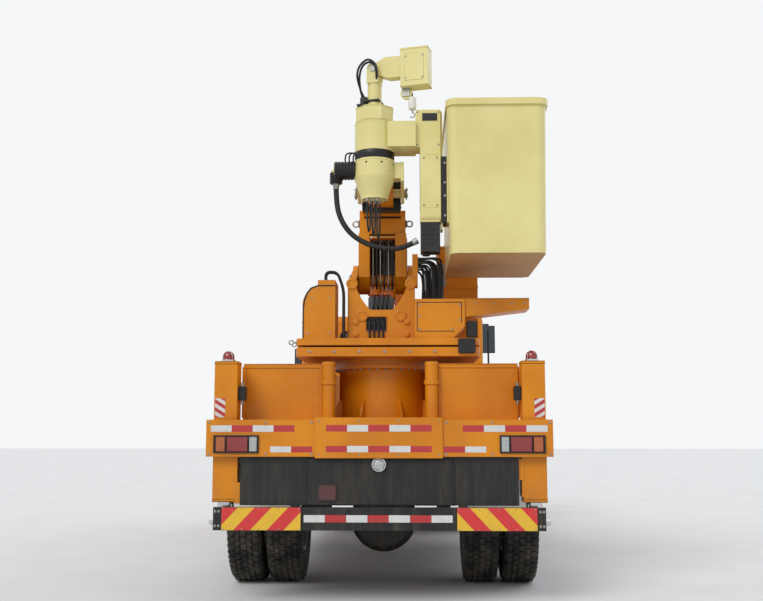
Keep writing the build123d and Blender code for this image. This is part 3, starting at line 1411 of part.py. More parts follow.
# The insulated length between them
with BuildPart() as insulated_boom:
    run = (insulator_end_u, steel_end_u + insulator_lap)
    with BuildSketch(boom_plane()):
        with Locations((sum(run) / 2, upper_mid)):
            Rectangle(run[1] - run[0], 2 * insulator_half_height)
    extrude(amount=insulator_half_width, both=True)
    with BuildSketch(boom_plane()):
        with Locations((sum(run) / 2, upper_mid)):
            Rectangle(run[1] - run[0] + 2, 2 * (insulator_half_height - insulator_wall))
    extrude(amount=insulator_half_width - insulator_wall, both=True, mode=Mode.SUBTRACT)
insulated_boom.part.label = "insulated_boom"
export_step(insulated_boom.part, "parts/insulated_boom.step")

# Tip bracket: side plates on the tip pin that carry the lower, fixed half of the drum
tip_y, tip_z = boom_point(tip_u, upper_mid)
drum_y = tip_y - drum_back
plate_inner = insulator_half_width + sleeve_grow + moving_gap
plate_outer = plate_inner + tip_plate
with BuildPart() as tip_bracket:
    for side, sign in SIDES:
        with BuildSketch(Plane.YZ.offset(sign * plate_inner)):
            with BuildLine():
                front = [(tip_y + 40, tip_z - 60), (tip_y + 60, tip_z + 60), (tip_y - 60, drum_z[1] - 10)]
                back = [(drum_y - 30, drum_z[1] - 10), (drum_y - 30, drum_shoulder_z - 10)]
                Polyline(*(front + back), close=True)
            make_face()
            with Locations((tip_y, tip_z)):
                Circle(tip_eye_radius)
        extrude(amount=sign * tip_plate)
    bar_x(tip_pin_radius, (-plate_outer - 12, plate_outer + 12), tip_y, tip_z)
    with BuildSketch(Plane.XZ.offset(-drum_y)):
        with BuildLine():
            low = [(drum_x, drum_z[0]), (drum_x + drum_foot_radius, drum_z[0])]
            drum_edge_x = drum_x + drum_radius
            wall = [(drum_edge_x, drum_shoulder_z), (drum_edge_x, drum_z[1]), (drum_x, drum_z[1])]
            Polyline(*(low + wall), close=True)
        make_face()
    revolve(axis=Axis((drum_x, drum_y, 0), (0, 0, 1)))
    for near, far in ((-plate_outer, drum_x - drum_radius + 40), (drum_x + drum_radius - 30, plate_outer)):
        slab((near, far), (drum_y - 25, drum_y + 90), (drum_shoulder_z + 10, drum_z[1] - 12))
    # The boot on the left plate, where the tip hose comes out
    bar_x(boot_radius, (boot_end_x, 1 - plate_outer), drum_y, boot_z)
    bar_z(tip_hose_radius + 22, boot_end_x + 15, drum_y, (hose_start_z, boot_z))
tip_bracket.part.label = "tip_bracket"
export_step(tip_bracket.part, "parts/tip_bracket.step")

# Rotating head: band, upper drum, arm, lift post with its rail and the motor box below it
with BuildPart() as swing_head:
    bar_z(band_radius, drum_x, drum_y, (drum_z[1] + seat_gap, head_z[0]))
    bar_z(drum_radius, drum_x, drum_y, head_z)
    arm_y = (drum_y - swing_arm_half_depth, drum_y + swing_arm_half_depth)
    post_y_range = (drum_y - post_half_depth, drum_y + post_half_depth)
    slab((drum_x + drum_radius - 50, post_head_x + 2), arm_y, swing_arm_z)
    slab((post_inner_x, post_outer_x), post_y_range, (post_low_z, post_head_z[0] + 1))
    fillet(swing_head.edges().filter_by(Axis.X).filter_by(lambda e: e.center().Z < post_low_z + 1), 45)
    slab((post_head_x, post_outer_x), post_y_range, post_head_z)
    slab((post_inner_x + 4, post_outer_x - 8), (drum_y - 80, drum_y + 80), (motor_z, post_low_z + 60))
    rail_y = (drum_y - rail_half_width, drum_y + rail_half_width)
    slab((post_outer_x - 1, post_outer_x + rail_depth), rail_y, (rail_low_z, post_head_z[1]))
swing_head.part.label = "swing_head"
export_step(swing_head.part, "parts/swing_head.step")

# Basket carriage that slides on the post's rail
carriage_x = (post_outer_x + rail_depth + seat_gap, basket_x[0])
carriage_y = (drum_y - carriage_half_width, drum_y + carriage_half_width)
with BuildPart() as basket_carriage:
    slab(carriage_x, carriage_y, carriage_z)
    for sign in (-1, 1):
        y = sorted((drum_y + sign * (rail_half_width + 2 * seat_gap), drum_y + sign * carriage_half_width))
        slab((post_outer_x + moving_gap, carriage_x[0] + 1), y, carriage_z)
basket_carriage.part.label = "basket_carriage"
export_step(basket_carriage.part, "parts/basket_carriage.step")

# Basket: an open rounded tub with an outward rim
with BuildPart() as basket:
    middle = (sum(basket_x) / 2, sum(basket_y) / 2)
    size = (basket_x[1] - basket_x[0], basket_y[1] - basket_y[0])
    shrink = 2 * basket_taper
    with BuildSketch(Plane.XY.offset(basket_z[0])):
        with Locations(middle):
            RectangleRounded(size[0] - shrink, size[1] - shrink, basket_corner)
    with BuildSketch(Plane.XY.offset(basket_z[1])):
        with Locations(middle):
            RectangleRounded(size[0], size[1], basket_corner)
    loft()
    with BuildSketch(Plane.XY.offset(basket_z[1] - rim_height)):
        with Locations((sum(rim_x) / 2, sum(rim_y) / 2)):
            RectangleRounded(rim_x[1] - rim_x[0], rim_y[1] - rim_y[0], basket_corner + 10)
    extrude(amount=rim_height)
    wall = 2 * basket_wall
    with BuildSketch(Plane.XY.offset(basket_z[0] + basket_wall)):
        with Locations(middle):
            RectangleRounded(size[0] - shrink - wall, size[1] - shrink - wall, basket_corner - 20)
    with BuildSketch(Plane.XY.offset(basket_z[1] + 1)):
        with Locations(middle):
            RectangleRounded(size[0] - wall, size[1] - wall, basket_corner - 20)
    loft(mode=Mode.SUBTRACT)
    slab((basket_x[0], basket_x[0] + 30), carriage_y, carriage_z)
basket.part.label = "basket"
export_step(basket.part, "parts/basket.step")

# Jib: an octagonal base and mast, and the winch head on its pin
jib_way = Vector(cos(radians(jib_yaw)), sin(radians(jib_yaw)), 0)
jib_side = Vector(-sin(radians(jib_yaw)), cos(radians(jib_yaw)), 0)


def jib_plane(offset=0.0):
    """The jib's side view at an offset to its right: local X out along the jib, local Y up."""
    origin = Vector(drum_x, drum_y, 0) - jib_side * offset
    return Plane(origin=origin, x_dir=jib_way, z_dir=jib_side * -1)


with BuildPart() as jib_mast:
    with BuildSketch(Plane(origin=(drum_x, drum_y, head_z[1] + seat_gap))):
        RegularPolygon(drum_radius, 8, rotation=22.5)
    extrude(amount=jib_base_top_z - head_z[1] - seat_gap)
    bar_z(jib_mast_radius, drum_x, drum_y, (jib_base_top_z - 5, jib_pin_z - 60))
    for sign in (-1, 1):
        with BuildSketch(jib_plane(sign * 46)):
            with BuildLine():
                Polyline(
                    (-45, jib_pin_z - 110),
                    (-45, jib_pin_z + 10),
                    (45, jib_pin_z + 10),
                    (45, jib_pin_z - 110),
                    close=True,
                )
            make_face()
            with Locations((0, jib_pin_z)):
                Circle(45)
        extrude(amount=sign * 14)
    with BuildSketch(jib_plane(60)):
        with Locations((0, jib_pin_z - 85)):
            Rectangle(90, 50)
    extrude(amount=-120)
    with BuildSketch(jib_plane(64)):
        with Locations((0, jib_pin_z)):
            Circle(jib_pin_radius)
    extrude(amount=-128)
jib_mast.part.label = "jib_mast"
export_step(jib_mast.part, "parts/jib_mast.step")

with BuildPart() as jib_arm:
    with BuildSketch(jib_plane(40)):
        with BuildLine():
            joint = jib_head_reach[0] + 2
            lower_edge = [(0, jib_pin_z - 38), (120, jib_pin_z - 80), (joint, jib_pin_z - 80)]
            upper_edge = [(joint, jib_pin_z + 85), (90, jib_pin_z + 85), (0, jib_pin_z + 38)]
            Polyline(*(lower_edge + upper_edge), close=True)
        make_face()
        with Locations((0, jib_pin_z)):
            Circle(40)
            Circle(jib_pin_radius + pin_gap, mode=Mode.SUBTRACT)
    extrude(amount=-80)
    with BuildSketch(jib_plane(jib_head_half_width)):
        with BuildLine():
            head_low = jib_pin_z - jib_head_drop
            head_high = jib_pin_z + jib_head_rise
            near, far = jib_head_reach
            Polyline((near, head_low), (far, head_low), (far, head_high), (near, head_high), close=True)
        make_face()
    extrude(amount=-2 * jib_head_half_width)
    with BuildSketch(jib_plane(12)):
        with Locations((sheave_reach, jib_pin_z - sheave_drop)):
            Circle(sheave_radius)
            Circle(18, mode=Mode.SUBTRACT)
        with Locations((sheave_reach, jib_pin_z - jib_head_drop - 8)):
            Rectangle(34, 26)
    extrude(amount=-24)
jib_arm.part.label = "jib_arm"
export_step(jib_arm.part, "parts/jib_arm.step")


def hose_radii(points):
    """A bend radius for each inner point: the arc takes 0.45 of the shorter run beside it."""
    radii = []
    for before, corner, after in zip(points, points[1:], points[2:]):
        run_in = Vector(*corner) - Vector(*before)
        run_out = Vector(*after) - Vector(*corner)
        half_turn = radians(run_in.get_angle(run_out)) / 2
        radii.append(0.45 * min(run_in.length, run_out.length) / tan(half_turn))
    return radii


def hose(points, radius):
    """A round hose of straight runs and arcs through the points."""
    with BuildPart() as run:
        with BuildLine() as path:
            FilletPolyline(*points, radius=hose_radii(points))
        with BuildSketch(Plane(origin=path.line @ 0, z_dir=path.line % 0)):
            Circle(radius)
        sweep(path=path.line)
    return run.part


# Valve hoses: a bundle that arches from the block down to the valve box, and two loops over the cover
with BuildPart() as valve_hoses:
    for k in range(valve_hoses_count):
        low_x = 335.0 + 27 * k
        high_z = 2485.0 + 17 * k
        y = hose_block_y[1] - 25 - 30 * (k % 2)
        route = [
            (hose_block_x[1], y, high_z),
            (low_x - 12, y, high_z),
            (low_x, y, 2390),
            (low_x, y, valve_box_top_z),
        ]
        add(hose(route, valve_hose_radius))
    for y in (-3430, -3395):
        route = [
            (-290, y, platform_z[1]),
            (-290, y, 2310),
            (-340, y, 2445),
            (-430, y, 2445),
            (-430, y, cover_z[1]),
        ]
        add(hose(route, loop_hose_radius))
valve_hoses.part.label = "valve_hoses"
export_step(valve_hoses.part, "parts/valve_hoses.step")

# The hose that hangs free from the boot to the motor box below the lift post
tip_route = [
    (boot_end_x + 15, drum_y, hose_start_z),
    (boot_end_x + 15, drum_y, 2940),
    (-300, -3745, 2800),
    (-215, -3755, 2672),
    (-80, -3760, 2592),
    (75, -3760, 2560),
    (195, -3752, 2578),
    (280, -3742, 2630),
]
with BuildPart() as tip_hose:
    add(hose(tip_route, tip_hose_radius))
tip_hose.part.label = "tip_hose"
export_step(tip_hose.part, "parts/tip_hose.step")
print("tip hose radii", [round(radius) for radius in hose_radii(tip_route)])
print("tip hose volume", round(tip_hose.part.volume))
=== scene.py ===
"""Looks of the bucket truck: finishes, lamps, tapes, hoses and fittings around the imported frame.

Metres, +Z up, +Y towards the cab, +X to the truck's right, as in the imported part.
"""

import math

import bmesh
import bpy
from mathutils import Matrix, Vector


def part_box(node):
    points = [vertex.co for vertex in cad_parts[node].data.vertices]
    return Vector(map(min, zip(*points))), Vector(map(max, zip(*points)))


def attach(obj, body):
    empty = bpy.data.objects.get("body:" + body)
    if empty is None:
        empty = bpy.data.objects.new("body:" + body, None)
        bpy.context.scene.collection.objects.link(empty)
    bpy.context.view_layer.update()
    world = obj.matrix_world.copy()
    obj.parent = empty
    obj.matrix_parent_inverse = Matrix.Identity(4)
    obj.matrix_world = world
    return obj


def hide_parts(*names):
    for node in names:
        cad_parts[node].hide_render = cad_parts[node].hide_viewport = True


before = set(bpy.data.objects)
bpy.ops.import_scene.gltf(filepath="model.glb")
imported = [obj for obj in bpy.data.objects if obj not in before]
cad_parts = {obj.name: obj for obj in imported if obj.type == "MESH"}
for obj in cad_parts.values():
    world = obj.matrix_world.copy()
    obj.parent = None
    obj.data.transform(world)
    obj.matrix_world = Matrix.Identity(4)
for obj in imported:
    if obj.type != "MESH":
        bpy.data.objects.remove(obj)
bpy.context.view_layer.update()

SIDES = (("left", -1), ("right", 1))
SIGNS = (-1, 1)
RIGHT, FORWARD, BACK, UP, DOWN = (1, 0, 0), (0, 1, 0), (0, -1, 0), (0, 0, 1), (0, 0, -1)


# Finishes

def colour(red, green, blue):
    """An sRGB colour from 0 to 255 as the linear values that a shader takes."""
    def linear(value):
        value /= 255.0
        return value / 12.92 if value <= 0.04045 else ((value + 0.055) / 1.055) ** 2.4
    return (linear(red), linear(green), linear(blue), 1.0)


class Finish:
    """One procedural material, with short calls for the nodes that build it."""

    def __init__(self, name, **inputs):
        self.material = bpy.data.materials.new(name)
        self.material.use_nodes = True
        self.tree = self.material.node_tree
        self.tree.nodes.clear()
        self.shader = self.node("ShaderNodeBsdfPrincipled")
        out = self.node("ShaderNodeOutputMaterial")
        self.link(self.shader.outputs[0], out.inputs[0])
        self.place = self.node("ShaderNodeTexCoord").outputs["Object"]
        for key, value in inputs.items():
            self.shader.inputs[key.replace("_", " ")].default_value = value

    def node(self, kind, **settings):
        made = self.tree.nodes.new(kind)
        for key, value in settings.items():
            setattr(made, key, value)
        return made

    def link(self, source, target):
        self.tree.links.new(source, target)

    def give(self, target, value):
        """Links a socket or sets a plain value."""
        if isinstance(value, bpy.types.NodeSocket):
            self.link(value, target)
        else:
            target.default_value = value

    def stretched(self, scale):
        mapping = self.node("ShaderNodeMapping")
        mapping.inputs["Scale"].default_value = scale
        self.link(self.place, mapping.inputs["Vector"])
        return mapping.outputs[0]

    def noise(self, scale, detail=4.0, roughness=0.55, place=None):
        made = self.node("ShaderNodeTexNoise")
        made.inputs["Scale"].default_value = scale
        made.inputs["Detail"].default_value = detail
        made.inputs["Roughness"].default_value = roughness
        self.link(place or self.place, made.inputs["Vector"])
        return made.outputs["Fac"]

    def cells(self, scale, feature="F1", place=None):
        made = self.node("ShaderNodeTexVoronoi", feature=feature)
        made.inputs["Scale"].default_value = scale
        self.link(place or self.place, made.inputs["Vector"])
        return made.outputs["Distance"]

    def ramp(self, value, *stops):
        """Colours or greys along a value, as (position, colour) stops."""
        made = self.node("ShaderNodeValToRGB")
        elements = made.color_ramp.elements
        while len(elements) < len(stops):
            elements.new(1.0)
        for element, (position, shade) in zip(elements, stops):
            element.position = position
            element.color = shade if hasattr(shade, "__len__") else (shade, shade, shade, 1.0)
        self.link(value, made.inputs[0])
        return made.outputs[0]

    def mix(self, share, low, high, mode="MIX"):
        made = self.node("ShaderNodeMix", data_type="RGBA", blend_type=mode)
        self.give(made.inputs[0], share)
        self.give(made.inputs[6], low)
        self.give(made.inputs[7], high)
        return made.outputs[2]

    def sum(self, operation, first, second):
        made = self.node("ShaderNodeMath", operation=operation)
        self.give(made.inputs[0], first)
        self.give(made.inputs[1], second)
        return made.outputs[0]

    def between(self, value, low, high):
        """0 at low and 1 at high, held outside them."""
        made = self.node("ShaderNodeMapRange", clamp=True)
        self.link(value, made.inputs["Value"])
        made.inputs["From Min"].default_value = low
        made.inputs["From Max"].default_value = high
        return made.outputs[0]

    def axis(self, name):
        made = self.node("ShaderNodeSeparateXYZ")
        self.link(self.place, made.inputs[0])
        return made.outputs[name]

    def soft_edges(self, radius):
        """Normals rounded over each edge, and a mask that is 1 on the edges."""
        rounded = self.node("ShaderNodeBevel", samples=4)
        rounded.inputs["Radius"].default_value = radius
        plain = self.node("ShaderNodeNewGeometry").outputs["Normal"]
        dot = self.node("ShaderNodeVectorMath", operation="DOT_PRODUCT")
        self.link(rounded.outputs[0], dot.inputs[0])
        self.link(plain, dot.inputs[1])
        return rounded.outputs[0], self.between(dot.outputs["Value"], 0.99, 0.86)

    def bump(self, height, strength, distance, normal=None):
        made = self.node("ShaderNodeBump")
        made.inputs["Strength"].default_value = strength
        made.inputs["Distance"].default_value = distance
        self.give(made.inputs["Height"], height)
        if normal is not None:
            self.link(normal, made.inputs["Normal"])
        return made.outputs[0]

    def set(self, **sockets):
        for key, value in sockets.items():
            self.give(self.shader.inputs[key.replace("_", " ")], value)
        return self.material


def painted(name, shade, shadow, rough=(0.34, 0.50), coat=0.14, wear=0.5, dust=0.5, dust_top=1.5, metal=None):
    """Sprayed enamel: slight cloudiness, fine orange peel, chips on the edges and road dust low down."""
    f = Finish(name, Coat_Weight=coat, Coat_Roughness=0.12, Specular_IOR_Level=0.34)
    cloud = f.noise(2.1, 5.0)
    fine = f.noise(38.0, 6.0, 0.62)
    base = f.mix(f.between(cloud, 0.36, 0.68), shadow, shade)
    normal, edge = f.soft_edges(0.004)
    chips = f.sum("MULTIPLY", edge, f.between(fine, 0.54, 0.60))
    base = f.mix(f.sum("MULTIPLY", chips, wear), base, metal or colour(70, 62, 52))
    streak = f.noise(5.0, 5.0, 0.6, f.stretched((3.0, 3.0, 0.35)))
    low = f.between(f.axis("Z"), dust_top, 0.25)
    grime = f.sum("MULTIPLY", f.sum("ADD", f.sum("MULTIPLY", low, 0.75), 0.10), f.between(streak, 0.44, 0.78))
    base = f.mix(f.sum("MULTIPLY", grime, dust), base, colour(118, 104, 84))
    roughness = f.sum("ADD", f.sum("MULTIPLY", f.noise(9.0, 4.0), rough[1] - rough[0]), rough[0])
    roughness = f.sum("ADD", roughness, f.sum("MULTIPLY", grime, 0.35))
    peel = f.bump(f.noise(420.0, 2.0), 0.05, 0.0006, normal)
    wave = f.bump(f.noise(3.2, 2.0), 0.10, 0.004, peel)
    return f.set(Base_Color=base, Roughness=roughness, Normal=wave)


def moulded(name, shade, shadow, roughness=0.5, grain=900.0, depth=0.12, edge_shade=None, dust=0.3):
    """Moulded plastic or rubber with a fine grain and paler rubbed edges."""
    f = Finish(name, Specular_IOR_Level=0.4)
    base = f.mix(f.between(f.noise(6.0, 5.0), 0.35, 0.7), shadow, shade)
    normal, edge = f.soft_edges(0.003)
    rubbed = f.sum("MULTIPLY", edge, f.between(f.noise(30.0, 4.0), 0.42, 0.62))
    base = f.mix(f.sum("MULTIPLY", rubbed, 0.45), base, edge_shade or colour(96, 96, 94))
    low = f.between(f.axis("Z"), 1.1, 0.1)
    film = f.sum("MULTIPLY", f.sum("MULTIPLY", low, dust), f.between(f.noise(7.0, 6.0), 0.38, 0.72))
    base = f.mix(film, base, colour(120, 112, 98))
    rough = f.sum("ADD", f.sum("MULTIPLY", f.noise(14.0, 4.0), 0.22), roughness - 0.11)
    skin = f.bump(f.cells(grain), depth, 0.0008, normal)
    return f.set(Base_Color=base, Roughness=rough, Normal=skin)


def bare_metal(name, shade, shadow, roughness=0.32, brushed=(4.0, 4.0, 90.0), grime=0.25):
    """Bright or plated metal with fine drawn lines and faint stains."""
    f = Finish(name, Metallic=1.0)
    lines = f.noise(60.0, 3.0, 0.5, f.stretched(brushed))
    stain = f.between(f.noise(8.0, 6.0), 0.45, 0.75)
    base = f.mix(f.sum("MULTIPLY", stain, grime), f.mix(lines, shadow, shade), colour(96, 86, 74))
    normal = f.soft_edges(0.002)[0]
    rough = f.sum("ADD", f.sum("MULTIPLY", stain, 0.22), f.sum("ADD", f.sum("MULTIPLY", lines, 0.10),
                                                               roughness - 0.05))
    return f.set(Base_Color=base, Roughness=rough, Normal=f.bump(lines, 0.06, 0.0006, normal))


def clear(name, tint, roughness=0.03, film=0.10):
    """Window glass: a thin film of dust over a smooth transmitting pane."""
    f = Finish(name, Transmission_Weight=1.0, IOR=1.45)
    dusty = f.between(f.noise(5.0, 6.0, 0.65), 0.45, 0.85)
    rough = f.sum("ADD", f.sum("MULTIPLY", dusty, film), roughness)
    base = f.mix(f.sum("MULTIPLY", dusty, 0.35), tint, colour(200, 202, 196))
    return f.set(Base_Color=base, Roughness=rough, Normal=f.bump(f.noise(2.0, 2.0), 0.02, 0.003))


def lens(name, shade, deep, see_through=0.35):
    """A lamp's coloured lens with fine moulded prisms behind its face."""
    f = Finish(name, Transmission_Weight=see_through, Coat_Weight=0.8, Coat_Roughness=0.04, Roughness=0.16)
    prisms = f.node("ShaderNodeTexWave", wave_type="BANDS", bands_direction="X")
    prisms.inputs["Scale"].default_value = 34.0
    f.link(f.place, prisms.inputs["Vector"])
    ribs = f.node("ShaderNodeTexWave", wave_type="BANDS", bands_direction="Z")
    ribs.inputs["Scale"].default_value = 34.0
    f.link(f.place, ribs.inputs["Vector"])
    net = f.sum("MAXIMUM", prisms.outputs["Fac"], ribs.outputs["Fac"])
    base = f.mix(f.between(net, 0.25, 0.95), deep, shade)
    base = f.mix(f.between(f.noise(18.0, 4.0), 0.55, 0.9), base, deep)
    return f.set(Base_Color=base, Normal=f.bump(net, 0.25, 0.0015))


def reflective(name, shade, deep):
    """Retroreflective tape: small welded cells under a clear face."""
    f = Finish(name, Coat_Weight=0.6, Coat_Roughness=0.1)
    cell = f.cells(165.0, "DISTANCE_TO_EDGE")
    base = f.mix(f.between(cell, 0.02, 0.10), deep, shade)
    dirt = f.between(f.noise(11.0, 6.0, 0.65), 0.50, 0.80)
    base = f.mix(f.sum("MULTIPLY", dirt, 0.25), base, colour(120, 108, 92))
    rough = f.sum("ADD", f.sum("MULTIPLY", dirt, 0.3), 0.28)
    return f.set(Base_Color=base, Roughness=rough, Normal=f.bump(cell, 0.15, 0.0008))


ORANGE = colour(222, 139, 0)
ORANGE_DEEP = colour(204, 122, 0)
orange = painted("orange_enamel", ORANGE, ORANGE_DEEP)
black = painted("black_enamel", colour(29, 30, 31), colour(18, 19, 20), rough=(0.38, 0.58), coat=0.15,
                dust=0.45, metal=colour(92, 90, 86))
grey = painted("grey_enamel", colour(66, 70, 72), colour(48, 52, 54), rough=(0.40, 0.60), coat=0.1, dust=0.4,
               metal=colour(110, 108, 102))
white_paint = painted("white_enamel", colour(232, 232, 226), colour(214, 214, 206), wear=0.6, dust=0.25)
cream = painted("cream_gelcoat", colour(230, 219, 152), colour(218, 206, 136), rough=(0.34, 0.50), coat=0.3,
                wear=0.25, dust=0.2, dust_top=1.0, metal=colour(190, 180, 120))
rubber = moulded("tyre_rubber", colour(27, 27, 28), colour(16, 16, 17), roughness=0.78, grain=500.0,
                 edge_shade=colour(66, 65, 62), dust=0.6)
plastic = moulded("black_plastic", colour(34, 35, 36), colour(20, 21, 22), roughness=0.46)
grey_plastic = moulded("grey_plastic", colour(96, 98, 100), colour(74, 76, 78), roughness=0.5)
fabric = moulded("seat_fabric", colour(70, 74, 82), colour(50, 54, 60), roughness=0.9, grain=420.0, depth=0.5)
hose_rubber = moulded("hose_rubber", colour(30, 31, 32), colour(17, 18, 18), roughness=0.42, grain=1500.0,
                      edge_shade=colour(60, 60, 60), dust=0.1)
chrome = bare_metal("chrome_plate", colour(214, 216, 218), colour(188, 190, 192), roughness=0.12, grime=0.08)
zinc = bare_metal("zinc_plate", colour(176, 176, 170), colour(138, 138, 132), roughness=0.38)
steel = bare_metal("worn_steel", colour(120, 118, 112), colour(80, 78, 74), roughness=0.5, grime=0.5)
silver = painted("wheel_silver", colour(168, 170, 170), colour(140, 142, 142), rough=(0.34, 0.5), dust=0.6,
                 dust_top=1.3, metal=colour(84, 78, 70))
glass = clear("window_glass", colour(216, 228, 226))
mirror_glass = bare_metal("mirror_glass", colour(78, 82, 86), colour(66, 70, 74), roughness=0.06, grime=0.04)
red_lens = lens("red_lens", colour(186, 28, 34), colour(96, 8, 12))
orange_lens = lens("orange_lens", colour(226, 112, 20), colour(150, 58, 6))
white_lens = lens("white_lens", colour(222, 226, 224), colour(150, 156, 156))
dark_lens = lens("dark_lens", colour(92, 18, 24), colour(40, 6, 10), 0.1)
tape_red = reflective("tape_red", colour(196, 30, 34), colour(132, 14, 18))
tape_white = reflective("tape_white", colour(222, 224, 222), colour(176, 180, 180))
board_red = reflective("board_red", colour(222, 34, 34), colour(168, 18, 20))
board_yellow = reflective("board_yellow", colour(236, 190, 24), colour(206, 156, 10))
# The basket's cream gelcoat painted darker and browner as painted shade under the basket, tinted by the
# orange paint around it
painted_shade_underside = painted("gelcoat_painted_shade", colour(190, 150, 96), colour(166, 128, 80), rough=(0.5, 0.7),
                    coat=0.05, wear=0.2, dust=0.2, metal=colour(120, 96, 64))

# The CAD nodes that wear each finish; {} stands for left and right
NODE_FINISH = (
    (orange, "cab_shell front_bumper deck lockers pedestal boom_rest turret turret_boxes lift_barrel"),
    (orange, "lower_boom boom_lugs elbow_link upper_boom door_{} locker_door_{}"),
    (orange, "rear_outrigger_{} front_outrigger_{}"),
    (black, "chassis_frame leaf_springs front_axle rear_axle side_tanks rear_bar basket_carriage knuckle_{}"),
    (cream, "insulated_boom tip_bracket swing_head basket jib_mast jib_arm"),
    (plastic, "cab_interior grille lamps mirrors"), (glass, "cab_glass door_glass_{}"),
    (hose_rubber, "valve_hoses tip_hose"), (rubber, "front_tyre_{} rear_tyres_{}"),
    (silver, "front_rim_{} rear_rims_{}"), (chrome, "lift_rod rear_jack_{} front_jack_{}"),
    (grey, "driveline"), (white_paint, "side_guards"),
)
for finish, nodes in NODE_FINISH:
    for node in nodes.split():
        for name in sorted({node.format(side) for side, _ in SIDES}):
            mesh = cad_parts[name].data
            mesh.materials.clear()
            mesh.materials.append(finish)

# The frame's slot that each finish fills, where it has one
SLOTS = {finish.name: slot for slot, finishes in (
    ("orange_paint", (orange,)), ("black_plastic", (plastic, grey_plastic)), ("black_paint", (black, grey)),
    ("cream_glassfibre", (cream, painted_shade_underside)), ("hose_rubber", (hose_rubber,)), ("rim_steel", (silver,)),
    ("lamp_lens", (red_lens, orange_lens, white_lens, dark_lens)),
) for finish in finishes}


# Mesh helpers: every piece is made in the row frame, so its object stays at the origin

def finish_piece(name, bm, body, material, slot="", smooth=40.0, replaces=()):
    """Turns the collected geometry into one named piece on a body, in its finish; the slot, worked out or
    given, is not used.
    """
    slot = SLOTS.get(material.name) if slot == "" else slot
    bmesh.ops.recalc_face_normals(bm, faces=bm.faces)
    mesh = bpy.data.meshes.new(name)
    for face in bm.faces:
        face.smooth = True
    for edge in bm.edges:
        if len(edge.link_faces) == 2 and edge.calc_face_angle(0.0) > math.radians(smooth):
            edge.smooth = False
    bm.to_mesh(mesh)
    bm.free()
    mesh.materials.append(material)
    made = bpy.data.objects.new(name, mesh)
    bpy.context.scene.collection.objects.link(made)
    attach(made, body)
    if replaces:
        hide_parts(*replaces)
    return made


def finish_all(body, *pieces):
    """Finishes several pieces of one body, each as its name, geometry and finish."""
    for piece, mesh, material in pieces:
        finish_piece(piece, mesh, body, material)


def new_meshes(count):
    return [bmesh.new() for _ in range(count)]


def up(height):
    return Vector((0, 0, height))


def spokes(count, phase=0.5):
    """Level directions spread evenly about Z."""
    for k in range(count):
        angle = 2 * math.pi * (k + phase) / count
        yield Vector((math.cos(angle), math.sin(angle), 0))


def bevelled(bm, verts, width, segments=2):
    """Rounds the sharp edges among these vertices."""
    chosen = set(verts)
    edges = {e for v in verts for e in v.link_edges if e.verts[0] in chosen and e.verts[1] in chosen}
    sharp = [e for e in edges if len(e.link_faces) == 2 and e.calc_face_angle(0.0) > math.radians(35)]
    bmesh.ops.bevel(bm, geom=sharp, offset=width, segments=segments, affect="EDGES", clamp_overlap=True)


def box(bm, low, high, edge=0.0, segments=2):
    """A block between two opposite corners, its edges rounded by edge."""
    low, high = zip(*(sorted(pair) for pair in zip(low, high)))
    size = [b - a for a, b in zip(low, high)]
    middle = [(a + b) / 2 for a, b in zip(low, high)]
    matrix = Matrix.Translation(middle) @ Matrix.Diagonal((*size, 1.0))
    verts = bmesh.ops.create_cube(bm, size=1.0, matrix=matrix)["verts"]
    if edge:
        bevelled(bm, verts, edge, segments)


def turned_box(bm, centre, size, turn, edge=0.0, segments=2):
    """A block of a size at a centre, turned by a matrix."""
    matrix = Matrix.Translation(centre) @ turn.to_4x4() @ Matrix.Diagonal((*size, 1.0))
    verts = bmesh.ops.create_cube(bm, size=1.0, matrix=matrix)["verts"]
    if edge:
        bevelled(bm, verts, edge, segments)


def frame_along(direction):
    """A rotation whose Z points along a direction."""
    return Vector(direction).to_track_quat("Z", "Y").to_matrix()


def lathe(bm, profile, origin, direction, segments=32, closed=False):
    """Turns a profile of (radius, distance) points about a line."""
    turn = frame_along(Vector(direction).normalized())
    origin = Vector(origin)
    rings = []
    for radius, distance in profile:
        if radius < 1e-6:
            rings.append([bm.verts.new(origin + turn @ Vector((0, 0, distance)))])
            continue
        rings.append([
            bm.verts.new(origin + turn @ Vector((radius * math.cos(a), radius * math.sin(a), distance)))
            for a in (2 * math.pi * k / segments for k in range(segments))
        ])
    pairs = list(zip(rings, rings[1:]))
    if closed:
        pairs.append((rings[-1], rings[0]))
    for low, high in pairs:
        for k in range(segments):
            j = (k + 1) % segments
            if len(low) == 1 and len(high) == 1:
                continue
            if len(low) == 1:
                bm.faces.new((low[0], high[k], high[j]))
            elif len(high) == 1:
                bm.faces.new((low[k], low[j], high[0]))
            else:
                bm.faces.new((low[k], low[j], high[j], high[k]))


def rod(bm, start, end, radius, segments=20, edge=0.0):
    """A round bar between two points, with broken edges."""
    start, end = Vector(start), Vector(end)
    length = (end - start).length
    edge = edge or min(radius * 0.18, length * 0.2)
    profile = [(0, 0), (radius - edge, 0), (radius, edge), (radius, length - edge), (radius - edge, length),
               (0, length)]
    lathe(bm, profile, start, end - start, segments)


def hex_bolt(bm, at, direction, size=0.009, washer=True):
    """A hexagon head on its washer, standing on a face."""
    at, direction = Vector(at), Vector(direction).normalized()
    if washer:
        lathe(bm, [(0, 0), (size * 1.25, 0), (size * 1.25, size * 0.18), (0, size * 0.18)], at, direction, 16)
    base = size * 0.18 if washer else 0.0
    head = [(0, base), (size, base), (size, base + size * 0.60), (size * 0.84, base + size * 0.74),
            (0, base + size * 0.74)]
    lathe(bm, head, at, direction, 6)


def rivet(bm, at, direction, radius=0.005):
    """A low domed head."""
    lathe(bm, [(radius, 0), (radius * 0.9, radius * 0.35), (radius * 0.5, radius * 0.6), (0, radius * 0.68)],
          at, direction, 12)


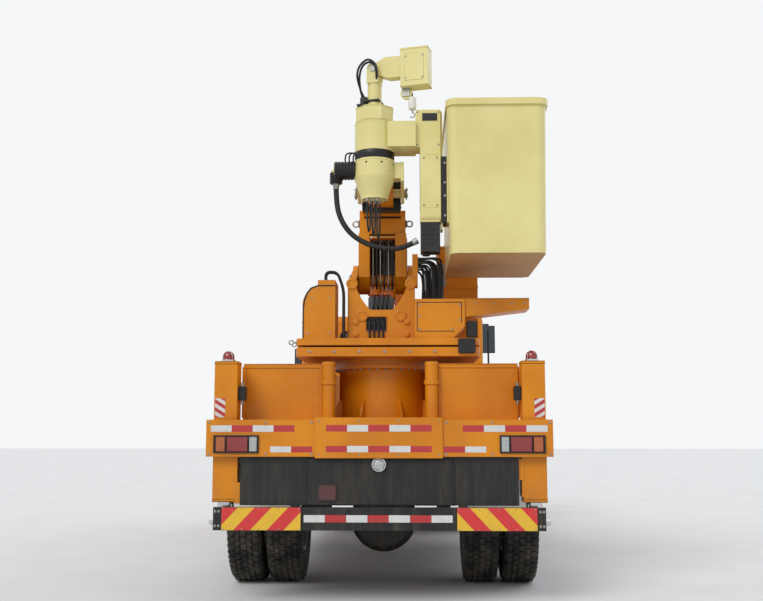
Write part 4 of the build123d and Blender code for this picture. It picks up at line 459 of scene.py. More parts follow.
def prism(bm, outline, origin, x_dir, y_dir, depth, edge=0.0, segments=2):
    """A flat outline pushed out along the normal of its plane."""
    origin, x_dir, y_dir = Vector(origin), Vector(x_dir).normalized(), Vector(y_dir).normalized()
    normal = x_dir.cross(y_dir)
    near = [bm.verts.new(origin + x_dir * x + y_dir * y) for x, y in outline]
    far = [bm.verts.new(v.co + normal * depth) for v in near]
    bm.faces.new(near)
    bm.faces.new(list(reversed(far)))
    count = len(near)
    for k in range(count):
        j = (k + 1) % count
        bm.faces.new((near[k], far[k], far[j], near[j]))
    if edge:
        bmesh.ops.recalc_face_normals(bm, faces=list({f for v in near + far for f in v.link_faces}))
        bevelled(bm, near + far, edge, segments)


def smooth_line(points, steps=8):
    """Points on a smooth curve through the given ones."""
    points = [Vector(p) for p in points]
    padded = [points[0] * 2 - points[1], *points, points[-1] * 2 - points[-2]]
    line = []
    for a, b, c, d in zip(padded, padded[1:], padded[2:], padded[3:]):
        for k in range(steps):
            t = k / steps
            square, cube = 2 * a - 5 * b + 4 * c - d, 3 * b - a - 3 * c + d
            line.append(0.5 * (2 * b + (c - a) * t + square * t * t + cube * t ** 3))
    line.append(points[-1])
    return line


def tube(bm, line, radius, segments=12, caps=True):
    """A round tube along points, its section carried along without twist."""
    line = [Vector(p) for p in line]
    ways = [(b - a).normalized() for a, b in zip(line, line[1:])]
    ways = [ways[0]] + [(a + b).normalized() for a, b in zip(ways, ways[1:])] + [ways[-1]]
    side = ways[0].orthogonal().normalized()
    rings = []
    for point, way in zip(line, ways):
        side = (side - way * side.dot(way)).normalized()
        up = way.cross(side)
        rings.append([
            bm.verts.new(point + (side * math.cos(a) + up * math.sin(a)) * radius)
            for a in (2 * math.pi * k / segments for k in range(segments))
        ])
    for low, high in zip(rings, rings[1:]):
        for k in range(segments):
            j = (k + 1) % segments
            bm.faces.new((low[k], low[j], high[j], high[k]))
    if caps:
        bm.faces.new(list(reversed(rings[0])))
        bm.faces.new(rings[-1])


def hose(bm, points, radius, steps=6, segments=10):
    """A round hose on a smooth curve through points."""
    tube(bm, smooth_line(points, steps), radius, segments)


# Camera and light

# Worked out from the photo's perspective
camera_place = Vector((0.228, -11.093, 1.219))
camera_yaw = math.radians(1.68)
camera_pitch = math.radians(7.44)

camera_data = bpy.data.cameras.new("view")
camera_data.sensor_width = 36.0
camera_data.lens = 47.2
camera_data.clip_start = 0.1
camera_data.clip_end = 200.0
camera = bpy.data.objects.new("view", camera_data)
camera.location = camera_place
camera.rotation_euler = (math.pi / 2 + camera_pitch, 0.0, camera_yaw)
bpy.context.scene.collection.objects.link(camera)
bpy.context.scene.camera = camera
bpy.context.scene.view_settings.view_transform = "Standard"

world = bpy.data.worlds.new("studio")
bpy.context.scene.world = world
world.use_nodes = True
sky = world.node_tree
sky.nodes.clear()


def sky_node(kind, *sources, **settings):
    """A node of the world, its first inputs linked to these outputs."""
    made = sky.nodes.new(kind)
    for key, value in settings.items():
        setattr(made, key, value)
    for source, target in zip(sources, made.inputs):
        sky.links.new(source, target)
    return made


# What the camera, reflections and glass see is a little paler than what lights the truck
rays = sky_node("ShaderNodeLightPath").outputs
plain, light = sky_node("ShaderNodeBackground"), sky_node("ShaderNodeBackground")
for background, tint, strength in ((plain, colour(246, 247, 248), 1.0),
                                   (light, (0.95, 0.97, 1.0, 1.0), 0.62)):
    background.inputs["Color"].default_value = tint
    background.inputs["Strength"].default_value = strength
seen = sky_node("ShaderNodeMath", rays["Is Camera Ray"], rays["Is Glossy Ray"], operation="MAXIMUM")
seen = sky_node("ShaderNodeMath", seen.outputs[0], rays["Is Transmission Ray"], operation="MAXIMUM")
both = sky_node("ShaderNodeMixShader", seen.outputs[0], light.outputs[0], plain.outputs[0])
sky_node("ShaderNodeOutputWorld", both.outputs[0])


def sun(name, towards, strength, softness, tint=(1.0, 0.98, 0.95)):
    """A soft far lamp that shines along a direction."""
    data = bpy.data.lights.new(name, "SUN")
    data.energy = strength
    data.angle = math.radians(softness)
    data.color = tint
    lamp = bpy.data.objects.new(name, data)
    lamp.rotation_euler = Vector(towards).to_track_quat("-Z", "Y").to_euler()
    bpy.context.scene.collection.objects.link(lamp)


sun("key", (0.55, 1.0, -0.95), 1.35, 28.0)
sun("fill", (-0.8, -0.6, -0.7), 0.55, 50.0, (0.95, 0.97, 1.0))

bm = bmesh.new()
bmesh.ops.create_grid(bm, x_segments=2, y_segments=2, size=60.0)
floor_mesh = bpy.data.meshes.new("floor")
bm.to_mesh(floor_mesh)
bm.free()
floor = bpy.data.objects.new("floor", floor_mesh)
bpy.context.scene.collection.objects.link(floor)
f = Finish("pale_floor", Specular_IOR_Level=0.2)
grain = f.noise(1.5, 6.0)
base = f.mix(f.between(grain, 0.3, 0.7), colour(226, 227, 228), colour(232, 233, 234))
floor_mesh.materials.append(f.set(Base_Color=base, Roughness=0.85,
                                  Normal=f.bump(f.noise(60.0, 4.0), 0.05, 0.002)))


# Rear of the truck: tapes, boards, lamps, legs and lockers

def clip(outline, keep):
    """The part of a flat outline where keep(point) is not negative."""
    kept = []
    for a, b in zip(outline, outline[1:] + outline[:1]):
        va, vb = keep(a), keep(b)
        if va >= 0:
            kept.append(a)
        if (va >= 0) != (vb >= 0):
            t = va / (va - vb)
            kept.append((a[0] + (b[0] - a[0]) * t, a[1] + (b[1] - a[1]) * t))
    return kept


rear_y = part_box("deck")[0].y
skirt_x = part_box("deck")[1].x
panel_y = rear_y + 0.015
board_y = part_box("rear_bar")[0].y
bar_y = board_y + 0.012
tape_thick = 0.0008
tape_length = 0.148

# Rows of tape: face, height of the row, where it starts, and its colours in order
TAPE_ROWS = (
    (panel_y, (1.214, 1.260), -1.192, "WRWR"),
    (panel_y, (1.070, 1.112), -0.768, "WR"),
    (rear_y, (1.216, 1.262), -0.372, "RWRWR"),
    (rear_y, (1.072, 1.116), -0.372, "RWRWR"),
    (panel_y, (1.214, 1.260), 0.592, "RWRW"),
    (panel_y, (1.070, 1.112), 0.458, "RW"),
    (bar_y, (0.586, 0.636), -0.526, "WRWRWRW"),
)
strips = dict(zip("RW", new_meshes(2)))
for face, (low, high), start, colours in TAPE_ROWS:
    for k, letter in enumerate(colours):
        x = start + k * (tape_length + 0.001)
        box(strips[letter], (x, face - tape_thick, low), (x + tape_length, face + 0.001, high), 0.0003, 1)

# The same tape along the deck's skirts
for sign in SIGNS:
    for k in range(9):
        y = -3.55 + k * 0.46
        outer_x = skirt_x + tape_thick
        box(strips["RW"[k % 2]], (sign * skirt_x, y, 1.135), (sign * outer_x, y + 0.30, 1.185), 0.0003, 1)
finish_piece("tape_red_strips", strips["R"], "chassis", tape_red, smooth=20)
finish_piece("tape_white_strips", strips["W"], "chassis", tape_white, smooth=20)

# Hazard boards: yellow plates with sloping red stripes, mirrored side to side
board_x = (0.547, 1.103)
board_z = (0.532, 0.688)
board_face = board_y - 0.0006
stripe_run = 0.118
yellow, red = new_meshes(2)
for sign in SIGNS:
    corner = (sign * board_x[1], board_y + 0.001, board_z[1])
    box(yellow, (sign * board_x[0], board_face, board_z[0]), corner, 0.0003, 1)
    height = board_z[1] - board_z[0]
    lean = height * 0.95
    for k in range(-2, 6):
        start = board_x[0] + 2 * k * stripe_run - 0.03
        stripe = [(start + lean, 0.0), (start + stripe_run + lean, 0.0), (start + stripe_run, height),
                  (start, height)]
        stripe = clip(stripe, lambda p: p[0] - board_x[0])
        stripe = clip(stripe, lambda p: board_x[1] - p[0]) if len(stripe) > 2 else stripe
        if len(stripe) > 2:
            stripe = stripe if sign > 0 else stripe[::-1]
            prism(red, stripe, (0, board_face, board_z[0]), (sign, 0, 0), UP, 0.0005 * sign)
finish_piece("hazard_yellow", yellow, "chassis", board_yellow, smooth=20)
finish_piece("hazard_red", red, "chassis", board_red, smooth=20)

# Rivets along the boards and bolts of the bar, panels and brackets
bolts, rivets = new_meshes(2)
for sign in SIGNS:
    for x in (0.56, 0.70, 0.84, 0.96, 1.09):
        for z in (0.541, 0.679):
            rivet(rivets, (sign * x, board_y - 0.001, z), BACK, 0.0045)
    for x in (1.125, 1.15):
        for z in (0.56, 0.66):
            hex_bolt(bolts, (sign * x, bar_y, z), BACK, 0.008)
    for x in (0.475, 0.80, 1.205):
        for z in (1.06, 1.28):
            hex_bolt(bolts, (sign * x, panel_y, z), BACK, 0.007)
    for x in (0.425, 0.14):
        for z in (1.055, 1.29):
            hex_bolt(bolts, (sign * x, rear_y + 0.0035, z), BACK, 0.007)
finish_all("chassis", ("tail_bolts", bolts, zinc), ("board_rivets", rivets, zinc))

# Tail lamps: a dark surround with orange, red and clear lenses
lamp_front, lamp_back = rear_y - 0.001, rear_y + 0.012
lamp_edges = (1.066, 1.189)
lens_z = (1.074, 1.181)
LENSES = (("orange", orange_lens, 1.085, 1.155), ("red", red_lens, 0.925, 1.077),
          ("white", white_lens, 0.860, 0.917))
surround, *lens_meshes = new_meshes(1 + len(LENSES))
for sign in SIGNS:
    for low, high in ((lamp_edges[0], 1.073), (1.182, lamp_edges[1])):
        box(surround, (sign * 0.852, lamp_front, low), (sign * 1.168, lamp_back, high), 0.001, 1)
    for x, width in ((0.852, 0.009), (0.919, 0.006), (1.079, 0.006), (1.159, 0.009)):
        corner = (sign * (x + width), lamp_back, lamp_edges[1])
        box(surround, (sign * x, lamp_front, lamp_edges[0]), corner, 0.001, 1)
    for mesh, (_, _, near, far) in zip(lens_meshes, LENSES):
        box(mesh, (sign * near, rear_y - 0.004, lens_z[0]), (sign * far, rear_y + 0.004, lens_z[1]), 0.004, 3)
finish_piece("tail_lamp_surround", surround, "chassis", plastic)
for mesh, (tint, finish, _, _) in zip(lens_meshes, LENSES):
    finish_piece(f"tail_lens_{tint}", mesh, "chassis", finish)

# Closing panel: folded edges, a dark lamp on the left and a round lamp in the middle
panel_face = board_y + 0.037
round_at = (0.0, panel_face, 0.985)
plate, dark, round_lamp, round_glass = new_meshes(4)
folds_y = (panel_face - 0.006, panel_face + 0.004)
for z in (0.712, 1.006):
    box(plate, (-0.525, folds_y[0], z - 0.008), (0.525, folds_y[1], z + 0.008), 0.003)
for x in (-0.517, 0.517):
    box(plate, (x - 0.008, folds_y[0], 0.71), (x + 0.008, folds_y[1], 1.01), 0.003)
box(dark, (-0.425, panel_face - 0.022, 0.735), (-0.30, folds_y[1], 0.845), 0.008, 3)
lamp_ring = [(0, 0), (0.046, 0), (0.050, 0.006), (0.050, 0.026), (0.043, 0.028), (0.040, 0.020), (0, 0.018)]
lathe(round_lamp, lamp_ring, round_at, BACK, 28)
lathe(round_glass, [(0.0405, 0.019), (0.034, 0.026), (0.018, 0.031), (0, 0.033)], round_at, BACK, 28)
finish_all("chassis", ("closing_panel_folds", plate, black), ("rear_fog_lens", dark, dark_lens),
           ("reversing_lamp_ring", round_lamp, chrome), ("reversing_lamp_glass", round_glass, white_lens))

# Rear outrigger legs: red domes in wire guards, collars, and sloping warning tape above the deck
leg_y = (-3.9125, -3.7475)
tape_x = (1.105, 1.178)
tape_z = (1.318, 1.452)
DOME = [(0.0432, 0.010), (0.0432, 0.036), (0.0405, 0.052), (0.032, 0.067), (0.018, 0.0765), (0, 0.0795)]
GUARD_RING = [(0.047, 0), (0.050, 0.003), (0.050, 0.014), (0.0445, 0.016), (0.0435, 0.012)]
GUARD_ARCH = ((0.049, 0.008), (0.0475, 0.045), (0.036, 0.064), (0.020, 0.0745))
for side, sign in SIDES:
    body = f"rear_outrigger_{side}"
    top = Vector((sign * 1.1025, -3.83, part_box(body)[1].z - 0.078))
    dome, guard, collars, warn_red, warn_white = new_meshes(5)
    lathe(dome, DOME, top, UP, 32)
    lathe(guard, GUARD_RING, top, UP, 32)
    for out in spokes(4):
        hose(guard, [top + out * r + up(h) for r, h in GUARD_ARCH], 0.0017, 4, 8)
    for z in (top.z - 0.012, 0.732):
        low = (top.x - 0.0845, leg_y[0] - 0.003, z - 0.010)
        box(collars, low, (top.x + 0.0845, leg_y[1] + 0.003, z + 0.010), 0.003)
    finish_all(body, (f"leg_lamp_dome_{side}", dome, red_lens), (f"leg_lamp_guard_{side}", guard, chrome),
               (f"rear_leg_collars_{side}", collars, orange))
    start = Vector((sign * tape_x[0], leg_y[0] - 0.0006, tape_z[0]))
    box(warn_white, start, (sign * tape_x[1], leg_y[0] + 0.001, tape_z[1]), 0.0002, 1)
    for k in range(-1, 4):
        v = k * 0.056
        stripe = [(0.0, v), (0.073, v + 0.045), (0.073, v + 0.073), (0.0, v + 0.028)]
        stripe = clip(clip(stripe, lambda p: p[1]), lambda p: tape_z[1] - tape_z[0] - p[1])
        if len(stripe) > 2:
            prism(warn_red, stripe, start, (sign, 0, 0), UP, 0.0005 * sign)
    finish_piece(f"leg_tape_white_{side}", warn_white, body, tape_white, smooth=20)
    finish_piece(f"leg_tape_red_{side}", warn_red, body, tape_red, smooth=20)

# Hydraulic lock valves on all four legs, with their fittings
valve_z = (1.44, 1.54)
for end, centre_y in (("rear", -3.83), ("front", 0.66)):
    for side, sign in SIDES:
        block, fittings = new_meshes(2)
        box(block, (sign * 1.020, centre_y - 0.045, valve_z[0]), (sign * 0.968, centre_y + 0.045, valve_z[1]),
            0.005)
        for dy in (-0.022, 0.022):
            for z, way in zip(valve_z, (DOWN, UP)):
                spot = Vector((sign * 0.994, centre_y + dy, z))
                hex_bolt(fittings, spot, way, 0.012, washer=False)
                rod(fittings, spot, spot + Vector(way) * 0.03, 0.0075, 12)
        finish_all(f"{end}_outrigger_{side}", (f"{end}_leg_valve_{side}", block, black),
                   (f"{end}_leg_fittings_{side}", fittings, zinc))

# Lockers: folded rims, ribs on the lids, and swages, latches and hinge leaves on the drop doors
locker_x = (0.430, 1.020)
locker_top = 1.710
rims, ribs = new_meshes(2)
for sign in SIGNS:
    for y, out in ((-3.650, -0.006), (-1.400, 0.006)):
        low = (sign * (locker_x[0] + 0.001), y, 1.684)
        box(rims, low, (sign * (locker_x[1] - 0.001), y + out, locker_top), 0.002)
        for x, inward in zip(locker_x, (0.022, -0.022)):
            box(rims, (sign * x, y, 1.302), (sign * (x + inward), y + out, 1.684), 0.002)
    for k in range(4):
        y = -3.45 + k * 0.60
        low = (sign * (locker_x[0] + 0.04), y, locker_top)
        box(ribs, low, (sign * (locker_x[1] - 0.04), y + 0.035, locker_top + 0.006), 0.003)
    for y in (-3.648, -1.41):
        low = (sign * (locker_x[0] + 0.002), y, locker_top)
        box(ribs, low, (sign * (locker_x[1] - 0.002), y + 0.012, locker_top + 0.008), 0.002)
finish_all("chassis", ("locker_rims", rims, orange), ("locker_ribs", ribs, orange))

for side, sign in SIDES:
    panels, latches, hinges = new_meshes(3)
    face = 1.0323
    for k in range(3):
        y0 = -3.60 + k * 0.735
        y1 = y0 + 0.695
        for near, far in (((y0, 1.345), (y1, 1.357)), ((y0, 1.652), (y1, 1.664)),
                          ((y0, 1.357), (y0 + 0.012, 1.652)), ((y1 - 0.012, 1.357), (y1, 1.652))):
            box(panels, (sign * (face - 0.001), *near), (sign * (face + 0.004), *far), 0.0015)
    for y in (-3.05, -2.00):
        box(latches, (sign * (face + 0.001), y - 0.075, 1.612), (sign * (face + 0.007), y + 0.075, 1.650),
            0.003)
        box(latches, (sign * (face + 0.004), y - 0.055, 1.622), (sign * (face + 0.018), y + 0.035, 1.640),
            0.004)
    for y in (-3.45, -2.90, -2.15, -1.60):
        box(hinges, (sign * face, y - 0.06, 1.328), (sign * (face + 0.004), y + 0.06, 1.372), 0.001, 1)
    finish_all(f"locker_door_{side}", (f"locker_door_swages_{side}", panels, orange),
               (f"locker_latches_{side}", latches, zinc), (f"locker_hinges_{side}", hinges, black))

# Pedestal: bolts through the slewing ring's flange, weld beads and gussets on the deck
slew = Vector((0.0, -3.0, 0.0))
deck_z = 1.300
pedestal_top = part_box("pedestal")[1].z - 0.044
pedestal_radius = 0.347
ring_radius = 0.372
weld = 0.012
ring_bolts, ped_parts = new_meshes(2)
for out in spokes(36):
    hex_bolt(ring_bolts, slew + out * 0.368 + up(pedestal_top - 0.030), DOWN, 0.011)
for out in spokes(48):
    rivet(ring_bolts, slew + out * (ring_radius - 0.0005) + up(pedestal_top + 0.022), out, 0.006)
for low, way in ((deck_z, 1), (pedestal_top - 0.030, -1)):
    bead = [(pedestal_radius, low), (pedestal_radius + weld, low), (pedestal_radius, low + way * weld)]
    lathe(ped_parts, bead, slew, UP, 72)
groove = [(ring_radius, 0.018), (ring_radius + 0.003, 0.020), (ring_radius + 0.003, 0.030),
          (ring_radius, 0.032)]
lathe(ped_parts, groove, slew + up(pedestal_top), UP, 72)
for out in spokes(8):
    side_way = Vector((-out.y, out.x, 0))
    origin = slew + out * (pedestal_radius - 0.001) - side_way * 0.006 + up(deck_z)
    gusset = [(0, 0), (0.085, 0), (0.085, 0.02), (0.02, 0.16), (0, 0.16)]
    prism(ped_parts, gusset, origin, out, UP, -0.012, 0.001, 1)
finish_all("chassis", ("ring_bolts", ring_bolts, zinc), ("pedestal_welds", ped_parts, orange))

# Caps and foot welds of the two posts beside the pedestal
posts = bmesh.new()
for sign in SIGNS:
    for profile in ([(0.048, 1.700), (0.0505, 1.702), (0.0505, 1.722), (0.044, 1.728), (0, 1.729)],
                    [(0.048, 1.300), (0.062, 1.301), (0.062, 1.309), (0.050, 1.320), (0.048, 1.320)]):
        lathe(posts, profile, (sign * 0.380, -3.690, 0), UP, 28)
finish_piece("post_caps", posts, "chassis", orange)


# The hose that hangs free from the tip's boot to the motor box: the route's points as control points

tip_route = (
    (-0.330, -3.73746, 3.069), (-0.330, -3.73746, 2.940), (-0.300, -3.745, 2.800), (-0.215, -3.755, 2.672),
    (-0.080, -3.760, 2.592), (0.075, -3.760, 2.560), (0.195, -3.752, 2.578), (0.280, -3.742, 2.630),
)
cord_data = bpy.data.curves.new("tip_hose_line", "CURVE")
cord_data.dimensions = "3D"
cord_data.bevel_depth = 0.020
cord_data.bevel_resolution = 5
cord_data.use_fill_caps = True
spline = cord_data.splines.new("NURBS")
spline.points.add(len(tip_route) - 1)
for control, place in zip(spline.points, tip_route):
    control.co = (*place, 1.0)
spline.order_u = 3
spline.use_endpoint_u = True
spline.resolution_u = 16
cord_data.materials.append(hose_rubber)
tip_cord = bpy.data.objects.new("tip_hose_line", cord_data)
bpy.context.scene.collection.objects.link(tip_cord)
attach(tip_cord, "tip")
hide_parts("tip_hose")

ferrules = bmesh.new()
for end, inner in ((tip_route[0], tip_route[1]), (tip_route[-1], tip_route[-2])):
    way = (Vector(inner) - Vector(end)).normalized()
    lathe(ferrules, [(0, 0), (0.0225, 0), (0.0245, 0.002), (0.0245, 0.020), (0.0225, 0.024), (0.0225, 0.040),
                     (0.020, 0.043)],
          end, way, 28)
tip_ferrules = finish_piece("tip_hose_ferrules", ferrules, "tip", zinc)


# Turntable

def ring(bm, centre, axis, radius, wire, segments=24):
    """A round wire ring."""
    profile = [(radius + wire * out.x, wire * out.y) for out in spokes(8, 0.0)]
    lathe(bm, profile, centre, axis, segments, closed=True)


def hose_end(bm, at, direction, radius=0.011, length=0.028):
    """A swaged hose end on its hexagon nut."""
    at, direction = Vector(at), Vector(direction).normalized()
    hex_bolt(bm, at, direction, radius * 1.25, washer=False)
    rod(bm, at + direction * 0.004, at + direction * length, radius, 14)


def pin_cap(bm, centre, sign, radius, depth, bolt_ring, bolt, segments):
    """A retaining cap with three bolts on the end of a pin across the truck."""
    edge = depth - 0.003
    profile = [(0, 0), (radius - 0.002, 0), (radius, 0.002), (radius, edge), (radius - 0.004, depth),
               (0, depth)]
    lathe(bm, profile, centre, (sign, 0, 0), segments)
    for out in spokes(3, 0.0):
        hex_bolt(bm, centre + Vector((sign * depth, bolt_ring * out.x, bolt_ring * out.y)), (sign, 0, 0),
                 bolt)


plate_y = -3.364
wing_top = 2.220
corners, bosses, slot_plate, slot_edge, valve_body, valve_caps = new_meshes(6)
for sign in SIGNS:
    for x, z in ((0.229, 2.362), (0.150, 2.110)):
        lathe(bosses, [(0, 0), (0.042, 0), (0.045, 0.003), (0.045, 0.010), (0.038, 0.013), (0.030, 0.013),
                       (0.028, 0.008), (0, 0.008)],
              (sign * x, plate_y, z), BACK, 28)
    for z in (1.965, 2.06):
        lathe(bosses, [(0, 0), (0.020, 0), (0.022, 0.002), (0.022, 0.012), (0.018, 0.014), (0, 0.014)],
              (sign * 0.200, plate_y, z), BACK, 20)
    box(corners, (sign * 0.255, plate_y - 0.006, 1.918), (sign * 0.262, plate_y + 0.020, 2.370), 0.002)
box(slot_plate, (-0.118, plate_y + 0.020, 1.990), (0.041, plate_y + 0.030, 2.103), 0.0018)
box(slot_edge, (-0.120, plate_y - 0.006, 1.986), (0.043, plate_y + 0.001, 1.994), 0.002)
for low, high in (((-0.124, 2.100), (0.047, 2.106)), ((-0.124, 1.994), (-0.117, 2.100)),
                  ((0.040, 1.994), (0.047, 2.100))):
    box(corners, (low[0], plate_y - 0.005, low[1]), (high[0], plate_y + 0.001, high[1]), 0.002)
box(valve_body, (-0.105, -3.290, 2.120), (0.095, -3.190, 2.268), 0.006)
box(valve_body, (-0.150, -3.285, 1.918), (0.150, -3.195, 2.122), 0.006)
for x in (-0.080, -0.045, -0.010, 0.025, 0.060):
    rod(valve_body, (x, -3.290, 2.170), (x, -3.312, 2.170), 0.014, 18)
    rod(valve_caps, (x, -3.240, 2.266), (x, -3.240, 2.292), 0.013, 18)
finish_all("turntable", ("rear_plate_edges", corners, orange), ("rear_plate_bosses", bosses, orange),
           ("rear_plate_slot", slot_plate, plastic))
finish_piece("rear_plate_slot_edge", slot_edge, "turntable", red_lens, slot=None)
finish_piece("slew_valve_block", valve_body, "turntable", grey_plastic, slot=None)
finish_piece("slew_valve_caps", valve_caps, "turntable", red_lens, slot=None)

thin_hoses, hose_fittings = new_meshes(2)
for x in (-0.090, -0.055, -0.020, 0.015):
    line = [(x, plate_y + 0.024, 2.080), (x, plate_y - 0.010, 2.062), (x, plate_y - 0.018, 2.000),
            (x, plate_y - 0.018, 1.950), (x, plate_y - 0.012, 1.918)]
    hose(thin_hoses, line, 0.008, 5)
for k, x in enumerate((-0.062, -0.027, 0.008, 0.043)):
    lean = 0.012 * (k % 2)
    line = [(x, -3.300, 2.170), (x, -3.322, 2.178), (x + 0.004, -3.330, 2.215),
            (x + 0.006, -3.300 - lean, 2.262), (x + 0.004, -3.220, 2.292),
            (x, -3.130, 2.270), (x, -3.060, 2.180), (x, -3.040, 2.050)]
    hose(thin_hoses, line, 0.0075)
    rod(hose_fittings, (x, -3.292, 2.170), (x, -3.306, 2.170), 0.011, 12)
finish_all("turntable", ("turntable_hoses", thin_hoses, hose_rubber),
           ("turntable_hose_ends", hose_fittings, zinc))

# More of the bundle that arches from the block on the right cheek to the valve box, with its nuts
bundle, bundle_nuts = new_meshes(2)
for k in range(6):
    y = -3.270 - 0.030 * (k % 2)
    hex_bolt(bundle_nuts, (0.285, y, 2.485 + 0.017 * k), RIGHT, 0.013, washer=False)
    hex_bolt(bundle_nuts, (0.335 + 0.027 * k, y, wing_top), UP, 0.013, washer=False)
for k in range(7):
    y = -3.254 - 0.064 * (k % 2) + 0.003 * k
    low_x = 0.322 + 0.026 * k
    high_z = 2.476 + 0.017 * k
    line = [(0.285, y, high_z), (low_x - 0.040, y, high_z + 0.003), (low_x - 0.006, y, high_z - 0.040),
            (low_x + 0.004, y, 2.360), (low_x + 0.002, y, 2.280), (low_x, y, wing_top)]
    hose(bundle, line, 0.0085, 6, 12)
    hex_bolt(bundle_nuts, (low_x, y, wing_top), UP, 0.012, washer=False)
finish_all("turntable", ("valve_hose_bundle", bundle, hose_rubber), ("valve_hose_nuts", bundle_nuts, zinc))

# Wing and valve box: anti-slip lozenges, lip, door seam and its screws; below, black boxes in the recess as
# painted shade
lozenges, lips, seams, screws, recess_shade_boxes = new_meshes(5)
for row in range(5):
    for column in range(26):
        x = 0.290 + column * 0.0325
        y = -3.478 + row * 0.046 + 0.023 * (column % 2)
        if y > -3.275:
            continue
        turn = Matrix.Rotation(math.radians(45 if (row + column) % 2 else -45), 3, "Z")
        turned_box(lozenges, (x, y, wing_top + 0.0008), (0.024, 0.007, 0.0022), turn, 0.0007, 1)
for low, high in (((0.640, -3.502), (1.133, -3.494)), ((1.125, -3.502), (1.133, -3.258)),
                  ((0.640, -3.266), (1.133, -3.258))):
    box(lips, (*low, wing_top - 0.002), (*high, wing_top + 0.007), 0.002)
for low, high in (((0.275, 1.975), (0.281, 2.190)), ((0.612, 2.035), (0.618, 2.190)),
                  ((0.275, 2.190), (0.618, 2.196)), ((0.275, 1.969), (0.560, 1.975))):
    box(seams, (low[0], -3.5215, low[1]), (high[0], -3.518, high[1]), 0.001, 1)
for x, z in ((0.295, 2.175), (0.598, 2.175), (0.295, 1.990), (0.545, 1.990), (0.598, 2.060), (0.295, 2.085)):
    hex_bolt(screws, (x, -3.520, z), BACK, 0.006)
for x in (0.72, 0.86, 1.00, 1.10):
    hex_bolt(screws, (x, -3.500, 2.185), BACK, 0.006)
# Two black boxes under the wing and beside the valve box, put there as painted shade in the recess
box(recess_shade_boxes, (0.585, -3.588, 1.800), (0.715, -3.558, 1.912), 0.006)
box(recess_shade_boxes, (0.655, -3.490, 1.920), (0.735, -3.400, 2.055), 0.008)
finish_all("turntable", ("wing_grip", lozenges, orange), ("wing_lips", lips, orange),
           ("valve_box_seams", seams, black), ("valve_box_screws", screws, zinc),
           ("turntable_recess_shade_boxes", recess_shade_boxes, plastic))

# Hose cover: the black seal along its arc, a folded top edge and a louvre in its side
seal, cover_trim = new_meshes(2)
arc = [(-0.600, 1.925), (-0.600, 2.150), (-0.592, 2.215), (-0.572, 2.272), (-0.540, 2.313), (-0.484, 2.334)]
inner = [(-0.590, 1.925), (-0.590, 2.148), (-0.582, 2.210), (-0.563, 2.264), (-0.534, 2.303), (-0.484, 2.323)]
prism(seal, arc + list(reversed(inner)), (0, -3.5035, 0), RIGHT, UP, -0.006, 0.001, 1)
box(seal, (-0.486, -3.5035, 2.323), (-0.352, -3.498, 2.333), 0.001)
for x in (-0.560, -0.390):
    for z in (1.960, 2.230):
        hex_bolt(cover_trim, (x + (0.03 if z > 2.1 and x < -0.5 else 0), -3.500, z), BACK, 0.006)
for k in range(5):
    z = 1.99 + 0.030 * k
    box(cover_trim, (-0.6015, -3.45, z), (-0.598, -3.22, z + 0.010), 0.001, 1)
finish_all("turntable", ("cover_seal", seal, plastic), ("cover_screws", cover_trim, zinc))

# Platform: bolts round its edge, ring bolts at the left, lifting eyes and the slew motor below the front
plate_bolts, eyes, slew_drive = new_meshes(3)
for k in range(7):
    hex_bolt(plate_bolts, (-0.54 + k * 0.19, -3.560, 1.815), BACK, 0.009)
for y in (-3.45, -3.20, -2.90, -2.60, -2.30):
    for side_x, way in ((-0.645, -1), (0.752, 1)):
        hex_bolt(plate_bolts, (side_x, y, 1.815), (way, 0, 0), 0.009)
for y in (-3.50, -3.30):
    rod(eyes, (-0.645, y, 1.890), (-0.668, y, 1.890), 0.007, 12)
    ring(eyes, (-0.684, y, 1.890), FORWARD, 0.016, 0.005)
lathe(slew_drive, [(0, 0), (0.075, 0), (0.080, 0.005), (0.080, 0.085), (0.066, 0.092), (0.066, 0.200),
                   (0.072, 0.204), (0.072, 0.224), (0, 0.228)],
      (0.300, -2.360, 1.917), UP, 32)
box(slew_drive, (0.262, -2.440, 2.040), (0.338, -2.395, 2.110), 0.006)
finish_all("turntable", ("platform_bolts", plate_bolts, zinc), ("platform_eyes", eyes, zinc),
           ("slew_motor", slew_drive, grey))

# Oil tank: lid, filler, breather, level glass and straps
tank_low, tank_high = Vector((0.462, -2.640, 1.917)), Vector((0.799, -2.150, 2.784))
tank_orange, tank_black, tank_zinc, tank_glass = new_meshes(4)
box(tank_orange, (tank_low.x - 0.004, tank_low.y - 0.004, 2.770),
    (tank_high.x + 0.004, tank_high.y + 0.004, 2.790), 0.004, 3)
for z in (2.05, 2.42, 2.66):
    box(tank_orange, (tank_low.x - 0.003, tank_low.y - 0.003, z),
        (tank_high.x + 0.003, tank_high.y + 0.003, z + 0.030), 0.0025)
lathe(tank_black, [(0, 0), (0.046, 0), (0.046, 0.012), (0.040, 0.014), (0.040, 0.045), (0.034, 0.050),
                   (0, 0.051)], (0.560, -2.540, 2.788), UP, 28)
lathe(tank_zinc, [(0, 0), (0.022, 0), (0.022, 0.030), (0.030, 0.032), (0.030, 0.060), (0.012, 0.070),
                  (0, 0.070)], (0.700, -2.250, 2.788), UP, 24)
box(tank_zinc, (0.500, -2.648, 2.440), (0.530, -2.639, 2.640), 0.003)
box(tank_glass, (0.507, -2.652, 2.455), (0.523, -2.640, 2.625), 0.004, 3)
for x in (0.475, 0.786):
    for y in (-2.62, -2.17):
        hex_bolt(tank_zinc, (x, y, 2.789), UP, 0.008)
finish_all("turntable", ("oil_tank_lid", tank_orange, orange), ("oil_tank_cap", tank_black, plastic),
           ("oil_tank_fittings", tank_zinc, zinc), ("oil_tank_gauge", tank_glass, white_lens))


# Booms

